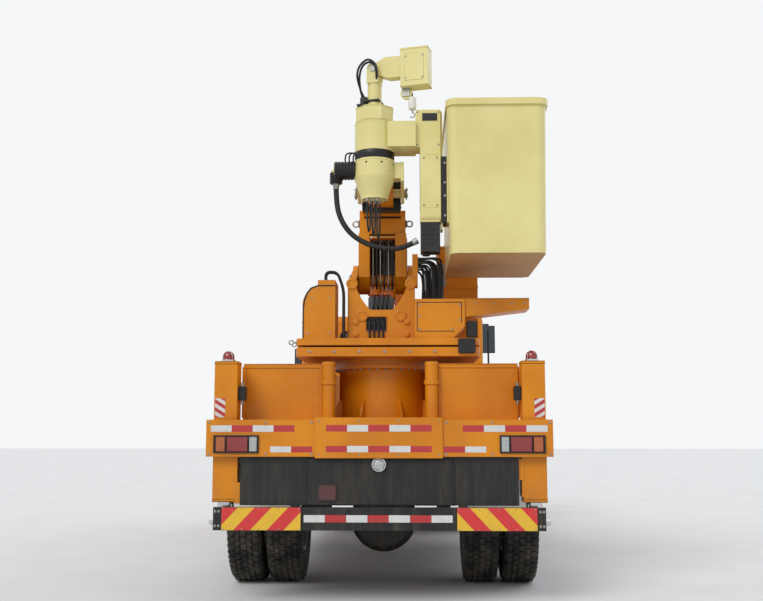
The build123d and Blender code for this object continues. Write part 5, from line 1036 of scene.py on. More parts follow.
boom_slope = math.radians(2.5)
foot_pin = Vector((0.0, -2.900, 2.450))
along = Vector((0.0, math.cos(boom_slope), math.sin(boom_slope)))
across = Vector((0.0, -math.sin(boom_slope), math.cos(boom_slope)))
boom_turn = Matrix(((1, 0, 0), (0, along.y, across.y), (0, along.z, across.z)))


def boom_point(u, v, x=0.0):
    """A place from its distance along the booms, across them and to the right."""
    return foot_pin + along * u + across * v + Vector((x, 0, 0))


def boom_box(bm, x, u, v, edge=0.002, segments=2):
    """A block square to the booms, from its ranges to the right, along and across."""
    x = sorted(x)
    centre = boom_point(sum(u) / 2, sum(v) / 2, sum(x) / 2)
    turned_box(bm, centre, (x[1] - x[0], u[1] - u[0], v[1] - v[0]), boom_turn, edge, segments)


# Lower boom: wear pads in the cradle, ring lugs, side pipes with clamps, foot pipes, collars and pin caps
pads, rings, pipes, clamps, collars, foot_caps, elbow_caps = new_meshes(7)
boom_box(pads, (-0.148, 0.148), (-0.112, 0.012), (0.502, 0.5265), 0.004)
for sign in SIGNS:
    boom_box(pads, (sign * 0.144, sign * 0.153), (-0.112, 0.012), (0.5265, 0.566), 0.002)
    boom_box(clamps, (sign * 0.187, sign * 0.199), (-0.075, -0.025), (0.440, 0.500), 0.003)
    ring(rings, boom_point(-0.050, 0.470, sign * 0.222), FORWARD, 0.024, 0.0065)
    rod(rings, boom_point(-0.050, 0.470, sign * 0.188), boom_point(-0.050, 0.470, sign * 0.204), 0.012, 14)
    for v in (0.105, 0.140):
        rod(pipes, boom_point(0.47, v, sign * 0.212), boom_point(5.90, v, sign * 0.212), 0.009, 12)
    for k in range(7):
        u = 0.60 + k * 0.85
        boom_box(clamps, (sign * 0.194, sign * 0.224), (u, u + 0.035), (0.088, 0.157), 0.004)
        hex_bolt(rings, boom_point(u + 0.0175, 0.1225, sign * 0.224), (sign, 0, 0), 0.006)
    for u in (0.152, 3.20, 6.40):
        boom_box(collars, (sign * 0.194, sign * 0.201), (u, u + 0.028), (0.062, 0.378), 0.002)
        boom_box(collars, (0.0, sign * 0.200), (u, u + 0.028), (0.379, 0.385), 0.002)
        boom_box(collars, (0.0, sign * 0.200), (u, u + 0.028), (0.055, 0.061), 0.002)
    pin_cap(foot_caps, boom_point(0.0, 0.0, sign * 0.262), sign, 0.058, 0.012, 0.036, 0.008, 32)
    pin_cap(elbow_caps, boom_point(6.745, 0.540, sign * 0.235), sign, 0.058, 0.012, 0.036, 0.008, 32)
for k, x in enumerate((-0.078, -0.048, -0.018, 0.014, 0.048, 0.080)):
    u = -0.100 - 0.018 * (k % 2)
    line = [boom_point(u + 0.02, -0.075, x), boom_point(u, -0.02, x), boom_point(u - 0.006, 0.12, x),
            boom_point(u, 0.25, x), boom_point(u + 0.03, 0.315, x),
            boom_point(u + 0.13, 0.335, x * 0.9), boom_point(0.16, 0.320, x * 0.9)]
    hose(pads if k % 2 else pipes, line, 0.0085 if k % 2 else 0.007)
finish_all("lower_boom", ("cradle_pads", pads, hose_rubber), ("boom_rings", rings, zinc),
           ("boom_pipes", pipes, zinc), ("boom_clamps", clamps, grey_plastic),
           ("boom_collars", collars, orange))

# The foot pin's caps stay with the turntable that holds the pin; the elbow pin turns with the lower boom
finish_piece("foot_pin_caps", foot_caps, "turntable", zinc)
finish_piece("elbow_pin_caps", elbow_caps, "lower_boom", zinc)

# Upper boom: black cover round the sleeve's end, collars, bolts and hoses
cover, upper_collars, upper_bolts, elbow_hoses = new_meshes(4)
boom_box(cover, (-0.1535, 0.1535), (-0.406, -0.300), (0.5145, 0.7655), 0.006, 3)
for u in (3.005, 3.14):
    boom_box(upper_collars, (-0.159, 0.159), (u, u + 0.030), (0.506, 0.774), 0.002)
boom_box(upper_collars, (-0.1425, 0.1425), (-0.165, -0.148), (0.526, 0.754), 0.002)
for sign in SIGNS:
    for u in (3.06, 3.10):
        for v in (0.55, 0.61, 0.67, 0.73):
            hex_bolt(upper_bolts, boom_point(u, v, sign * 0.155), (sign, 0, 0), 0.007)
    for u in (-0.36, -0.20):
        for v in (0.58, 0.70):
            hex_bolt(upper_bolts, boom_point(u, v, sign * (0.1535 if u < -0.3 else 0.152)), (sign, 0, 0),
                     0.007)
    for v in (0.600, 0.680):
        rod(elbow_hoses, boom_point(3.20, v, sign * 0.166), boom_point(6.10, v, sign * 0.166), 0.008, 12)
for k in range(5):
    x = -0.060 + 0.030 * k
    line = [boom_point(6.05, 0.772, x), boom_point(6.25, 0.785, x), boom_point(6.45, 0.782, x)]
    hose(elbow_hoses, line, 0.009, 5)
finish_all("upper_boom", ("sleeve_end_cover", cover, plastic), ("upper_boom_collars", upper_collars, orange),
           ("upper_boom_bolts", upper_bolts, zinc), ("upper_boom_hoses", elbow_hoses, hose_rubber))

# Lift cylinder: gland nut, weld bead and the two ports with their pipe
cylinder_foot = Vector((0.0, -2.500, 2.120))
cylinder_way = Vector((0.0, 0.952263, 0.305278))
gland, port_pipe = new_meshes(2)
lathe(gland, [(0.0945, 0.862), (0.0975, 0.866), (0.0975, 0.914), (0.0945, 0.918)], cylinder_foot,
      cylinder_way, 40)
lathe(gland, [(0.0855, 0.072), (0.091, 0.078), (0.0855, 0.086)], cylinder_foot, cylinder_way, 40)
side_way = Vector(RIGHT).cross(cylinder_way) * -1
for distance in (0.130, 0.820):
    at = cylinder_foot + cylinder_way * distance + side_way * 0.083
    rod(gland, at, at + side_way * 0.022, 0.016, 16)
start = cylinder_foot + cylinder_way * 0.130 + side_way * 0.104
end = cylinder_foot + cylinder_way * 0.820 + side_way * 0.104
tube(port_pipe, [start, start + cylinder_way * 0.23, start + cylinder_way * 0.46, end], 0.0075, 10)
finish_all("lift_barrel", ("lift_barrel_gland", gland, black), ("lift_barrel_pipe", port_pipe, zinc))


# Tip bracket and drum

drum = Vector((-0.040, -3.73746, 0.0))
boot_z = 3.168
seams, holes, bellows, foot_bolts, drum_hoses = new_meshes(5)
for z in (3.226, 3.104):
    lathe(seams, [(0.1498, z - 0.006), (0.1522, z - 0.004), (0.1522, z + 0.004), (0.1498, z + 0.006)], drum,
          UP, 64)
lathe(seams, [(0, 2.940), (0.100, 2.940), (0.103, 2.943), (0.103, 2.952), (0.100, 2.955), (0.096, 2.955)],
      drum, UP, 48)
for out in spokes(8):
    rivet(holes, drum + out * 0.149 + up(3.200), out, 0.008)
    hex_bolt(foot_bolts, drum + out * 0.082 + up(2.941), DOWN, 0.008)
folds = [(0, 0.164)]
for k in range(7):
    x = 0.160 - k * 0.0235
    folds += [(0.0655, x), (0.072, x - 0.0105)]
folds += [(0.0655, 0.0)]
lathe(bellows, folds, (-0.181, drum.y, boot_z), (-1, 0, 0), 32)
folds = [(0.0435, 0.0)]
for k in range(5):
    folds += [(0.0505, 0.006 + k * 0.017), (0.0435, 0.0145 + k * 0.017)]
lathe(bellows, folds, (-0.330, drum.y, 3.069), UP, 28)
lathe(bellows, [(0.020, 3.067), (0.044, 3.067), (0.0465, 3.070), (0.0435, 3.074)], (-0.330, drum.y, 0), UP,
      28)
for k, x in enumerate((-0.092, -0.056, -0.020)):
    low = 2.700 - 0.028 * k
    back, front = -3.812, -3.716
    line = [(x, back, 2.944), (x, back, 2.880), (x + 0.002, back - 0.004, low + 0.070),
            (x + 0.006, back + 0.014, low + 0.014),
            (x + 0.010, (back + front) / 2, low), (x + 0.014, front - 0.014, low + 0.014),
            (x + 0.018, front, low + 0.070), (x + 0.020, front, 2.880), (x + 0.020, front, 2.944)]
    hose(drum_hoses, line, 0.0068, 7, 12)
    for y, dx in ((back, 0.0), (front, 0.020)):
        hose_end(foot_bolts, (x + dx, y, 2.944), DOWN, 0.009)
for k in range(3):
    x = -0.200 - 0.030 * k
    line = [(x, drum.y - 0.02, 3.225), (x, drum.y - 0.025, 3.262), (x + 0.012, drum.y - 0.045, 3.286),
            (x + 0.050, drum.y - 0.080, 3.284),
            (x + 0.085 + 0.01 * k, drum.y - 0.098, 3.262), (x + 0.094 + 0.01 * k, drum.y - 0.100, 3.228)]
    hose(drum_hoses, line, 0.006)
finish_all("tip", ("drum_seams", seams, cream), ("drum_plugs", holes, plastic),
           ("drum_foot_bolts", foot_bolts, zinc), ("tip_bellows", bellows, hose_rubber),
           ("drum_hoses", drum_hoses, hose_rubber))
pin_caps = bmesh.new()
for sign in SIGNS:
    pin_cap(pin_caps, Vector((sign * 0.193, -3.40746, 3.06845)), sign, 0.048, 0.011, 0.030, 0.007, 28)
finish_piece("tip_pin_caps", pin_caps, "tip", zinc)


# Rotating head: black band, weld, slot and screws of the post head, side strip, motor box

band, head_trim, head_black, head_screws, motor = new_meshes(5)
lathe(band, [(0.1385, 3.2395), (0.148, 3.2405), (0.1495, 3.243), (0.1495, 3.268), (0.147, 3.2695),
             (0.1495, 3.271), (0.1495, 3.296), (0.148, 3.2985), (0.1385, 3.2995)],
      drum, UP, 64)
lathe(head_trim, [(0.1498, 3.508), (0.1520, 3.510), (0.1520, 3.518), (0.1498, 3.5205)], drum, UP, 64)
box(head_black, (0.316, drum.y - 0.0975, 3.520), (0.436, drum.y - 0.090, 3.586), 0.014, 4)
box(head_black, (0.2995, drum.y - 0.088, 2.830), (0.303, drum.y - 0.050, 3.290), 0.0015)
box(head_trim, (0.318, drum.y - 0.0965, 2.860), (0.440, drum.y - 0.094, 2.864), 0.001, 1)
box(head_trim, (0.318, drum.y - 0.0965, 3.262), (0.440, drum.y - 0.094, 3.266), 0.001, 1)
for z in (2.88, 3.24):
    for x in (0.330, 0.428):
        hex_bolt(head_screws, (x, drum.y - 0.095, z), BACK, 0.006)
for x in (0.283, 0.442):
    for z in (3.340, 3.592):
        hex_bolt(head_screws, (x, drum.y - 0.095, z), BACK, 0.006)
box(motor, (0.3045, drum.y - 0.0815, 2.5345), (0.4485, drum.y + 0.0815, 2.757), 0.002, 2)
rod(motor, (0.345, drum.y, 2.5345), (0.345, drum.y, 2.512), 0.030, 24)
for k in range(4):
    z = 2.590 + k * 0.034
    box(motor, (0.314, drum.y - 0.0845, z), (0.439, drum.y - 0.080, z + 0.012), 0.0015)
finish_all("swing_head", ("head_band", band, hose_rubber), ("head_seams", head_trim, cream),
           ("head_slot_and_strip", head_black, plastic), ("head_screws", head_screws, zinc),
           ("lift_motor", motor, plastic))

# Basket: rolled rim, a plate under it in painted shade, mat, control box with levers and harness rings
rim, mat, panel, levers, basket_rings = new_meshes(5)


def rounded(low, high, corner, steps=6):
    """The outline of a rectangle with round corners."""
    outline = []
    for cx, cy, turn in ((high[0], high[1], 0), (low[0], high[1], 90), (low[0], low[1], 180),
                         (high[0], low[1], 270)):
        ox = cx - corner if cx == high[0] else cx + corner
        oy = cy - corner if cy == high[1] else cy + corner
        for k in range(steps + 1):
            a = math.radians(turn + 90 * k / steps)
            outline.append((ox + corner * math.cos(a), oy + corner * math.sin(a)))
    return outline


line = [Vector((x, y, 3.6395)) for x, y in rounded((0.497, -3.994), (1.239, -2.756), 0.074)]
tube(rim, line + [line[0]], 0.0055, 8, caps=False)
line = [Vector((x, y, 3.5975)) for x, y in rounded((0.495, -3.996), (1.241, -2.754), 0.076)]
tube(rim, line + [line[0]], 0.0045, 8, caps=False)
prism(mat, rounded((0.556, -3.925), (1.173, -2.825), 0.045), (0, 0, 2.5225), RIGHT, FORWARD, 0.008, 0.002)
for k in range(9):
    y = -3.88 + k * 0.125
    box(mat, (0.575, y, 2.530), (1.155, y + 0.050, 2.534), 0.0015, 1)
box(panel, (0.545, -3.420, 3.360), (0.660, -3.080, 3.560), 0.014, 3)
box(panel, (0.560, -3.405, 3.556), (0.650, -3.095, 3.574), 0.006)
for k in range(6):
    y = -3.375 + k * 0.050
    rod(levers, (0.605, y, 3.570), (0.612, y, 3.618), 0.0045, 12)
    lathe(levers, [(0, -0.011), (0.008, -0.008), (0.011, 0), (0.008, 0.008), (0, 0.011)], (0.613, y, 3.624),
          UP, 16)
for y in (-3.75, -3.00):
    rod(basket_rings, (1.190, y, 3.540), (1.172, y, 3.540), 0.014, 16)
    ring(basket_rings, (1.164, y, 3.522), FORWARD, 0.020, 0.005)
# A thin plate under the basket's floor, in the painted-shade gelcoat
base = bmesh.new()
prism(base, rounded((0.519, -3.965), (1.210, -2.785), 0.066), (0, 0, 2.4925), RIGHT, FORWARD, 0.004, 0.0012,
      1)
finish_all("basket", ("basket_rim", rim, cream), ("basket_underside_painted_shade", base, painted_shade_underside))
finish_piece("basket_mat", mat, "basket", rubber, "black_plastic")
finish_piece("basket_controls", panel, "basket", plastic)
finish_piece("basket_levers", levers, "basket", red_lens, slot=None)
finish_piece("basket_rings", basket_rings, "basket", chrome)

# Bolts of the basket's carriage
carriage_bolts = bmesh.new()
for z in (2.80, 2.95, 3.05, 3.20):
    for dy in (-0.078, 0.078):
        hex_bolt(carriage_bolts, (0.486, drum.y + dy + math.copysign(0.0125, dy), z),
                 (0, math.copysign(1, dy), 0), 0.008)
finish_piece("carriage_bolts", carriage_bolts, "basket", zinc)


# Jib: base rim and bolts, clamp and hose arch on the mast, winch head with drum, rope, hook and counterweight

jib_way = Vector((math.cos(math.radians(-15)), math.sin(math.radians(-15)), 0))
jib_side = Vector((-jib_way.y, jib_way.x, 0))


def jib_point(reach, side, z):
    """A place from its reach along the jib, its offset to the jib's left and its height."""
    return drum + jib_way * reach + jib_side * side + up(z)


jib_turn = Matrix(((jib_way.x, jib_side.x, 0), (jib_way.y, jib_side.y, 0), UP))
base_trim, base_bolts, clamp, arch = new_meshes(4)
octagon = [0.1535 * out.xy for out in spokes(8)]
for z in (3.526, 3.632):
    prism(base_trim, octagon, (drum.x, drum.y, z), RIGHT, FORWARD, 0.010, 0.003)
lathe(base_trim, [(0.054, 3.640), (0.086, 3.641), (0.086, 3.652), (0.062, 3.660), (0.054, 3.676)], drum, UP,
      40)
lathe(base_trim, [(0.054, 3.862), (0.062, 3.866), (0.062, 3.884), (0.054, 3.888)], drum, UP, 40)
for out in spokes(8):
    hex_bolt(base_bolts, drum + out * 0.112 + up(3.642), UP, 0.008)
for side in (-0.060, 0.060):
    centre = jib_point(0, side, 3.950)
    lathe(base_bolts, [(0, 0), (0.024, 0), (0.024, 0.006), (0, 0.007)], centre,
          jib_side * math.copysign(1, side), 20)
turned_box(clamp, jib_point(-0.078, 0, 3.700), (0.056, 0.076, 0.085), jib_turn, 0.006)
turned_box(clamp, jib_point(-0.010, 0, 3.700), (0.130, 0.122, 0.020), jib_turn, 0.006)
for k in range(2):
    side = -0.072 - 0.020 * k
    line = [jib_point(-0.090 + 0.012 * k, -0.020, 3.740), jib_point(-0.100, -0.045, 3.800),
            jib_point(-0.098 - 0.012 * k, side, 3.890), jib_point(-0.075 - 0.014 * k, side - 0.004, 3.965),
            jib_point(-0.028, side - 0.004, 3.995 + 0.014 * k),
            jib_point(0.018 + 0.010 * k, side - 0.002, 3.975), jib_point(0.034 + 0.010 * k, side, 3.915),
            jib_point(0.030, -0.050, 3.860)]
    hose(arch, line, 0.0085, 7, 12)
for k in range(2):
    line = [jib_point(-0.088 + 0.018 * k, -0.030, 3.662), jib_point(-0.094 + 0.018 * k, -0.036, 3.630),
            jib_point(-0.100 + 0.018 * k, -0.112, 3.655), jib_point(-0.085 + 0.018 * k, -0.120, 3.645)]
    hose(arch, line, 0.0075)
finish_all("jib_mast", ("jib_base_trim", base_trim, cream), ("jib_base_bolts", base_bolts, zinc),
           ("jib_clamp", clamp, plastic), ("jib_hoses", arch, hose_rubber))

head_edges, winch, rope, hook, weight = new_meshes(5)
for z in (3.788, 4.074):
    turned_box(head_edges, jib_point(0.326, 0, z), (0.219, 0.125, 0.010), jib_turn, 0.003)
for side in (-1, 1):
    turned_box(head_edges, jib_point(0.326, side * 0.0605, 3.931), (0.150, 0.004, 0.210), jib_turn, 0.0015)
    for reach in (0.262, 0.390):
        for z in (3.845, 4.017):
            hex_bolt(winch, jib_point(reach, side * 0.0625, z), jib_side * side, 0.006)
lathe(winch, [(0, 0), (0.040, 0), (0.044, 0.004), (0.044, 0.020), (0.038, 0.026), (0.015, 0.028), (0, 0.028)],
      jib_point(0.326, 0.0625, 3.931), jib_side, 32)
for side in (-1, 1):
    turned_box(winch, jib_point(0.252, side * 0.017, 3.757), (0.060, 0.006, 0.075), jib_turn, 0.002)
lathe(winch, [(0, -0.022), (0.009, -0.022), (0.009, 0.022), (0, 0.022)], jib_point(0.252, 0, 3.745), jib_side,
      16)
drop = jib_point(0.297, 0, 0)
tube(rope, [drop + up(z) for z in (3.745, 3.735, 3.725, 3.716)], 0.005, 10)
lathe(weight, [(0, 3.612), (0.018, 3.613), (0.028, 3.620), (0.030, 3.630), (0.030, 3.700), (0.024, 3.712),
               (0.010, 3.718), (0, 3.718)], drop, UP, 28)
bend = [drop + up(3.614), drop + up(3.596)]
for k in range(9):
    a = math.radians(90 - 30 * k)
    bend.append(drop + jib_way * (0.018 * math.cos(a)) + up(3.574 + 0.018 * math.sin(a)))
tube(hook, bend, 0.005, 10)
finish_all("jib_arm", ("jib_head_edges", head_edges, cream), ("jib_winch", winch, zinc),
           ("jib_rope", rope, fabric), ("jib_hook_weight", weight, white_paint), ("jib_hook", hook, zinc))


# Wheels: tyres with tread blocks and sidewall ribs in place of the plain rings, nuts, hub caps and lock rings

axle_z = 0.510
SIDEWALL = [
    (0.256, 0.112), (0.262, 0.122), (0.272, 0.127), (0.300, 0.1335), (0.330, 0.137), (0.334, 0.1385),
    (0.345, 0.1385), (0.349, 0.1375), (0.380, 0.139), (0.415, 0.138), (0.440, 0.1345), (0.444, 0.1355),
    (0.456, 0.134), (0.460, 0.132), (0.480, 0.124), (0.492, 0.114), (0.497, 0.104),
]
TREAD_ROWS = ((-0.094, 0.034, 0.5), (-0.049, 0.030, 0.0), (0.0, 0.036, 0.5), (0.049, 0.030, 0.0),
              (0.094, 0.034, 0.5))
tread_pitches = 56


def tread_frame(pitch):
    """The way out of the tyre at a pitch, and the turn that stands a block there."""
    angle = 2 * math.pi * pitch / tread_pitches
    out = Vector((0, math.cos(angle), math.sin(angle)))
    return out, Matrix((Vector(RIGHT), Vector((0, -out.z, out.y)), out)).transposed()


def tyre(bm, centre):
    """One truck tyre about an X axis: carcass, grooved tread of five rows of blocks, shoulder lugs."""
    left = [(r, -w) for r, w in SIDEWALL]
    right = [(r, w) for r, w in reversed(SIDEWALL)]
    lathe(bm, left + [(0.4975, -0.05), (0.4975, 0.05)] + right, centre, RIGHT, 64, closed=True)
    for k in range(tread_pitches):
        for offset, width, phase in TREAD_ROWS:
            out, turn = tread_frame(k + phase)
            lean = Matrix.Rotation(math.radians(14 if offset < 0 else -14 if offset > 0 else 0), 3, "Z")
            place = Vector(centre) + Vector((offset, 0, 0)) + out * 0.5018
            turned_box(bm, place, (width, 0.044, 0.0146), turn @ lean)
        for sign in (-1, 1):
            out, turn = tread_frame(k + 0.5)
            tilt = Matrix.Rotation(math.radians(38 * sign), 3, "Y")
            turned_box(bm, Vector(centre) + Vector((sign * 0.1195, 0, 0)) + out * 0.4855,
                       (0.024, 0.030, 0.010), turn @ tilt)


WHEELS = (("front", 1.880, (0.985,), 1.047, 1.113, "front_tyre", "front_wheel"),
          ("rear", -2.620, (1.091, 0.781), 1.011, 1.153, "rear_tyres", "rear_wheels"))
for end, axle_y, tyre_places, nut_face, hub_face, node, body in WHEELS:
    for side, sign in SIDES:
        rubber_mesh, nuts, hub, trims = new_meshes(4)
        for x in tyre_places:
            tyre(rubber_mesh, (sign * x, axle_y, axle_z))
        finish_piece(f"{end}_treads_{side}", rubber_mesh, f"{body}_{side}", rubber, slot="tyre_rubber",
                     replaces=(f"{node}_{side}",))
        for k in range(10):
            angle = 2 * math.pi * (k + 0.5) / 10
            at = Vector((sign * nut_face, axle_y + 0.144 * math.cos(angle), axle_z + 0.144 * math.sin(angle)))
            hex_bolt(nuts, at, (sign, 0, 0), 0.016)
            rod(nuts, at, at + Vector((sign * 0.030, 0, 0)), 0.0085, 10)
        for k in range(8):
            angle = 2 * math.pi * k / 8
            hex_bolt(nuts, (sign * hub_face, axle_y + 0.060 * math.cos(angle),
                            axle_z + 0.060 * math.sin(angle)), (sign, 0, 0), 0.007)
        lathe(hub, [(0.046, 0), (0.046, 0.010), (0.040, 0.018), (0.020, 0.022), (0, 0.023)],
              (sign * hub_face, axle_y, axle_z), (sign, 0, 0), 32)
        edge_x = tyre_places[0] + 0.1165
        lathe(trims, [(0.2545, -0.004), (0.262, -0.003), (0.264, 0.001), (0.262, 0.004), (0.2545, 0.004)],
              (sign * edge_x, axle_y, axle_z), (sign, 0, 0), 64, closed=True)
        finish_all(f"{body}_{side}", (f"{end}_wheel_nuts_{side}", nuts, zinc),
                   (f"{end}_hub_cap_{side}", hub, silver), (f"{end}_lock_ring_{side}", trims, silver))


# Cab front: lamps, blank plate, wipers, seals, grille trim, steps and roof markers

def rounded_loop(corners, cut=0.05, steps=5):
    """A closed line through corners, each one rounded."""
    line = []
    count = len(corners)
    for k in range(count):
        before, corner, after = (Vector(corners[(k + j) % count]) for j in (-1, 0, 1))
        start = corner + (before - corner).normalized() * cut
        end = corner + (after - corner).normalized() * cut
        for j in range(steps + 1):
            t = j / steps
            line.append(start * (1 - t) ** 2 + corner * 2 * t * (1 - t) + end * t * t)
    return line + [line[0]]


head_bowls, head_glass, indicators, blank_plate, tow = new_meshes(5)
for sign in SIGNS:
    box(head_glass, (sign * 0.742, 3.186, 0.602), (sign * 0.978, 3.1965, 0.738), 0.010, 4)
    for cx, r in ((0.800, 0.052), (0.896, 0.045)):
        lathe(head_bowls, [(r, 0), (r + 0.004, 0.001), (r + 0.004, 0.006), (r, 0.007), (r * 0.8, 0.003),
                           (0, 0.001)], (sign * cx, 3.1945, 0.670), FORWARD, 36)
    box(indicators, (sign * 0.946, 3.187, 0.606), (sign * 0.974, 3.1985, 0.734), 0.006, 3)
    for z in (0.5945, 0.7405):
        box(head_bowls, (sign * 0.734, 3.192, z - 0.004), (sign * 0.986, 3.203, z + 0.004), 0.002)
    lathe(head_bowls, [(0, 0), (0.042, 0), (0.046, 0.004), (0.046, 0.012), (0.040, 0.014), (0.036, 0.009),
                       (0, 0.008)], (sign * 0.520, 3.1985, 0.640), FORWARD, 30)
    lathe(head_glass, [(0.0365, 0.011), (0.024, 0.016), (0, 0.018)], (sign * 0.520, 3.1985, 0.640), FORWARD,
          30)
    ring(tow, (sign * 0.300, 3.215, 0.490), RIGHT, 0.030, 0.009)
    rod(tow, (sign * 0.300, 3.198, 0.520), (sign * 0.300, 3.215, 0.520), 0.012, 14)
box(blank_plate, (-0.235, 3.1605, 0.575), (0.235, 3.1635, 0.675), 0.003)
for x in (-0.18, 0.18):
    hex_bolt(head_bowls, (x, 3.1635, 0.625), FORWARD, 0.006)
finish_all("chassis", ("head_lamp_bowls", head_bowls, chrome), ("head_lamp_glass", head_glass, white_lens),
           ("front_indicators", indicators, orange_lens), ("front_plate_blank", blank_plate, white_paint),
           ("tow_eyes", tow, black))

screen_up = Vector((0, -0.215, 0.740)).normalized()
screen_out = Vector((0, screen_up.z, -screen_up.y))
screen_middle = Vector((0, 3.0125, 2.150))


def on_screen(x, rise, lift=0.0):
    """A place on the windscreen's plane."""
    return screen_middle + Vector((x, 0, 0)) + screen_up * rise + screen_out * lift


seals, wipers, grille_trim = new_meshes(3)
corners = ((-1.012, -0.347), (1.012, -0.347), (1.012, 0.347), (-1.012, 0.347))
corners = [on_screen(x, rise, 0.002) for x, rise in corners]
tube(seals, rounded_loop(corners, 0.062), 0.012, 10, caps=False)
corners = [(x, 1.077, z) for x, z in ((-0.627, 1.938), (0.627, 1.938), (0.627, 2.422), (-0.627, 2.422))]
tube(seals, rounded_loop(corners, 0.062), 0.012, 10, caps=False)
for x, lean in ((-0.62, 0.48), (0.10, 0.48)):
    pivot = on_screen(x, -0.372, 0.012)
    elbow = on_screen(x + lean * 0.55, -0.215, 0.030)
    tube(wipers, [pivot, on_screen(x + 0.02, -0.36, 0.030), elbow], 0.006, 10)
    tube(wipers, [on_screen(x + 0.02, -0.300, 0.016), elbow - screen_out * 0.012,
                  on_screen(x + lean + 0.08, -0.125, 0.016)], 0.0065, 8)
    lathe(wipers, [(0, 0), (0.016, 0), (0.016, 0.018), (0.010, 0.024), (0, 0.024)], on_screen(x, -0.372, 0.0),
          screen_out, 18)
for z in (1.172, 1.568):
    box(grille_trim, (-0.828, 3.144, z - 0.006), (0.828, 3.156, z + 0.006), 0.003)
for x in (-0.824, 0.824):
    box(grille_trim, (x - 0.006, 3.144, 1.172), (x + 0.006, 3.156, 1.568), 0.003)
finish_all("chassis", ("cab_seals", seals, hose_rubber), ("wipers", wipers, plastic),
           ("grille_trim", grille_trim, plastic))

markers, marker_feet, drip, step_treads = new_meshes(4)
for x in (-0.80, -0.12, 0.12, 0.80):
    box(marker_feet, (x - 0.055, 2.740, 2.617), (x + 0.055, 2.800, 2.626), 0.003)
    box(markers, (x - 0.050, 2.744, 2.624), (x + 0.050, 2.796, 2.652), 0.010, 3)
for sign in SIGNS:
    box(drip, (sign * 1.100, 1.130, 2.538), (sign * 1.114, 2.800, 2.549), 0.003)
    for z in (0.851, 0.941):
        for k in range(7):
            y = 2.700 + k * 0.036
            box(step_treads, (sign * 0.945, y, z), (sign * 1.102, y + 0.012, z + 0.006), 0.001, 1)
    for y in (-0.30, -1.15, -3.20, 0.30):
        box(markers, (sign * 1.2255, y - 0.045, 1.225), (sign * 1.2355, y + 0.045, 1.262), 0.005, 3)
finish_all("chassis", ("marker_lamps", markers, orange_lens), ("marker_feet", marker_feet, plastic),
           ("roof_drip_rails", drip, orange), ("step_treads", step_treads, zinc))

# Doors: window seals, handle plates with locks, and two swages
for side, sign in SIDES:
    seal, plates, swage = new_meshes(3)
    x = sign * 1.105
    outline = ((1.845, 1.800), (1.845, 2.425), (2.678, 2.425), (2.860, 1.800))
    tube(seal, rounded_loop([(x, y, z) for y, z in outline], 0.045), 0.009, 10, caps=False)
    box(plates, (x, 1.812, 1.628), (x + sign * 0.003, 1.968, 1.682), 0.0012, 1)
    rod(plates, (x, 1.990, 1.655), (x + sign * 0.006, 1.990, 1.655), 0.011, 18)
    for y, low, high in ((1.800, 1.552, 1.566), (2.200, 1.160, 1.172)):
        box(swage, (x, y, low), (x + sign * 0.004, 2.930, high), 0.0018)
    finish_all(f"door_{side}", (f"door_seal_{side}", seal, hose_rubber),
               (f"door_handle_plate_{side}", plates, plastic), (f"door_swages_{side}", swage, orange))

# Mirrors: glass in a thin frame on each head
mirror_faces, mirror_frames = new_meshes(2)
for sign, low, high in ((-1, 1.990, 2.374), (1, 2.313, 2.697)):
    box(mirror_faces, (sign * 1.235, 3.0185, low + 0.010), (sign * 1.405, 3.0215, high - 0.010), 0.0012, 1)
    near, far = sorted((sign * 1.231, sign * 1.409))
    line = rounded_loop([(x, 3.020, z) for x, z in ((near, low + 0.006), (far, low + 0.006),
                                                    (far, high - 0.006), (near, high - 0.006))], 0.018)
    tube(mirror_frames, line, 0.005, 8, caps=False)
finish_all("chassis", ("mirror_faces", mirror_faces, mirror_glass), ("mirror_frames", mirror_frames, plastic))


# Seats: crowned cushions over the seat shells

def cushion(bm, centre, size, turn, crown=0.18, pull=0.05):
    """A crowned pad alone in its mesh: its faces swell and its sides pull in between the corners."""
    bmesh.ops.create_cube(bm, size=2.0)
    bmesh.ops.subdivide_edges(bm, edges=bm.edges[:], cuts=7, use_grid_fill=True)
    for v in bm.verts:
        x, y, z = v.co
        swell = 1.0 - crown * (x ** 4 + y ** 4) / 2
        ends = 1.0 - 0.10 * z * z
        v.co = Vector((
            x * size[0] / 2 * (1 - pull * (1 - y * y)) * ends,
            y * size[1] / 2 * (1 - pull * (1 - x * x)) * ends,
            z * size[2] / 2 * swell * (1 + 0.12 * (1 - x * x) * (1 - y * y)),
        ))
        v.co = Vector(centre) + turn @ v.co


for side, sign in SIDES:
    x = sign * 0.560
    for part, centre, size, lean in (("cushion", (x, 1.875, 1.500), (0.530, 0.590, 0.190), 2.5),
                                     ("back", (x, 1.612, 1.850), (0.530, 0.640, 0.185), 98.5)):
        pad = bmesh.new()
        cushion(pad, centre, size, Matrix.Rotation(math.radians(lean), 3, "X"))
        made = finish_piece(f"seat_{part}_{side}", pad, "chassis", fabric, smooth=180)
    head = bmesh.new()
    cushion(head, (x, 1.548, 2.235), (0.270, 0.180, 0.095), Matrix.Rotation(math.radians(98.5), 3, "X"))
    finish_piece(f"seat_head_{side}", head, "chassis", fabric, smooth=180)
    stems = bmesh.new()
    for dx in (-0.06, 0.06):
        rod(stems, (x + dx, 1.560, 2.110), (x + dx, 1.550, 2.190), 0.006, 12)
    finish_piece(f"seat_stems_{side}", stems, "chassis", chrome)

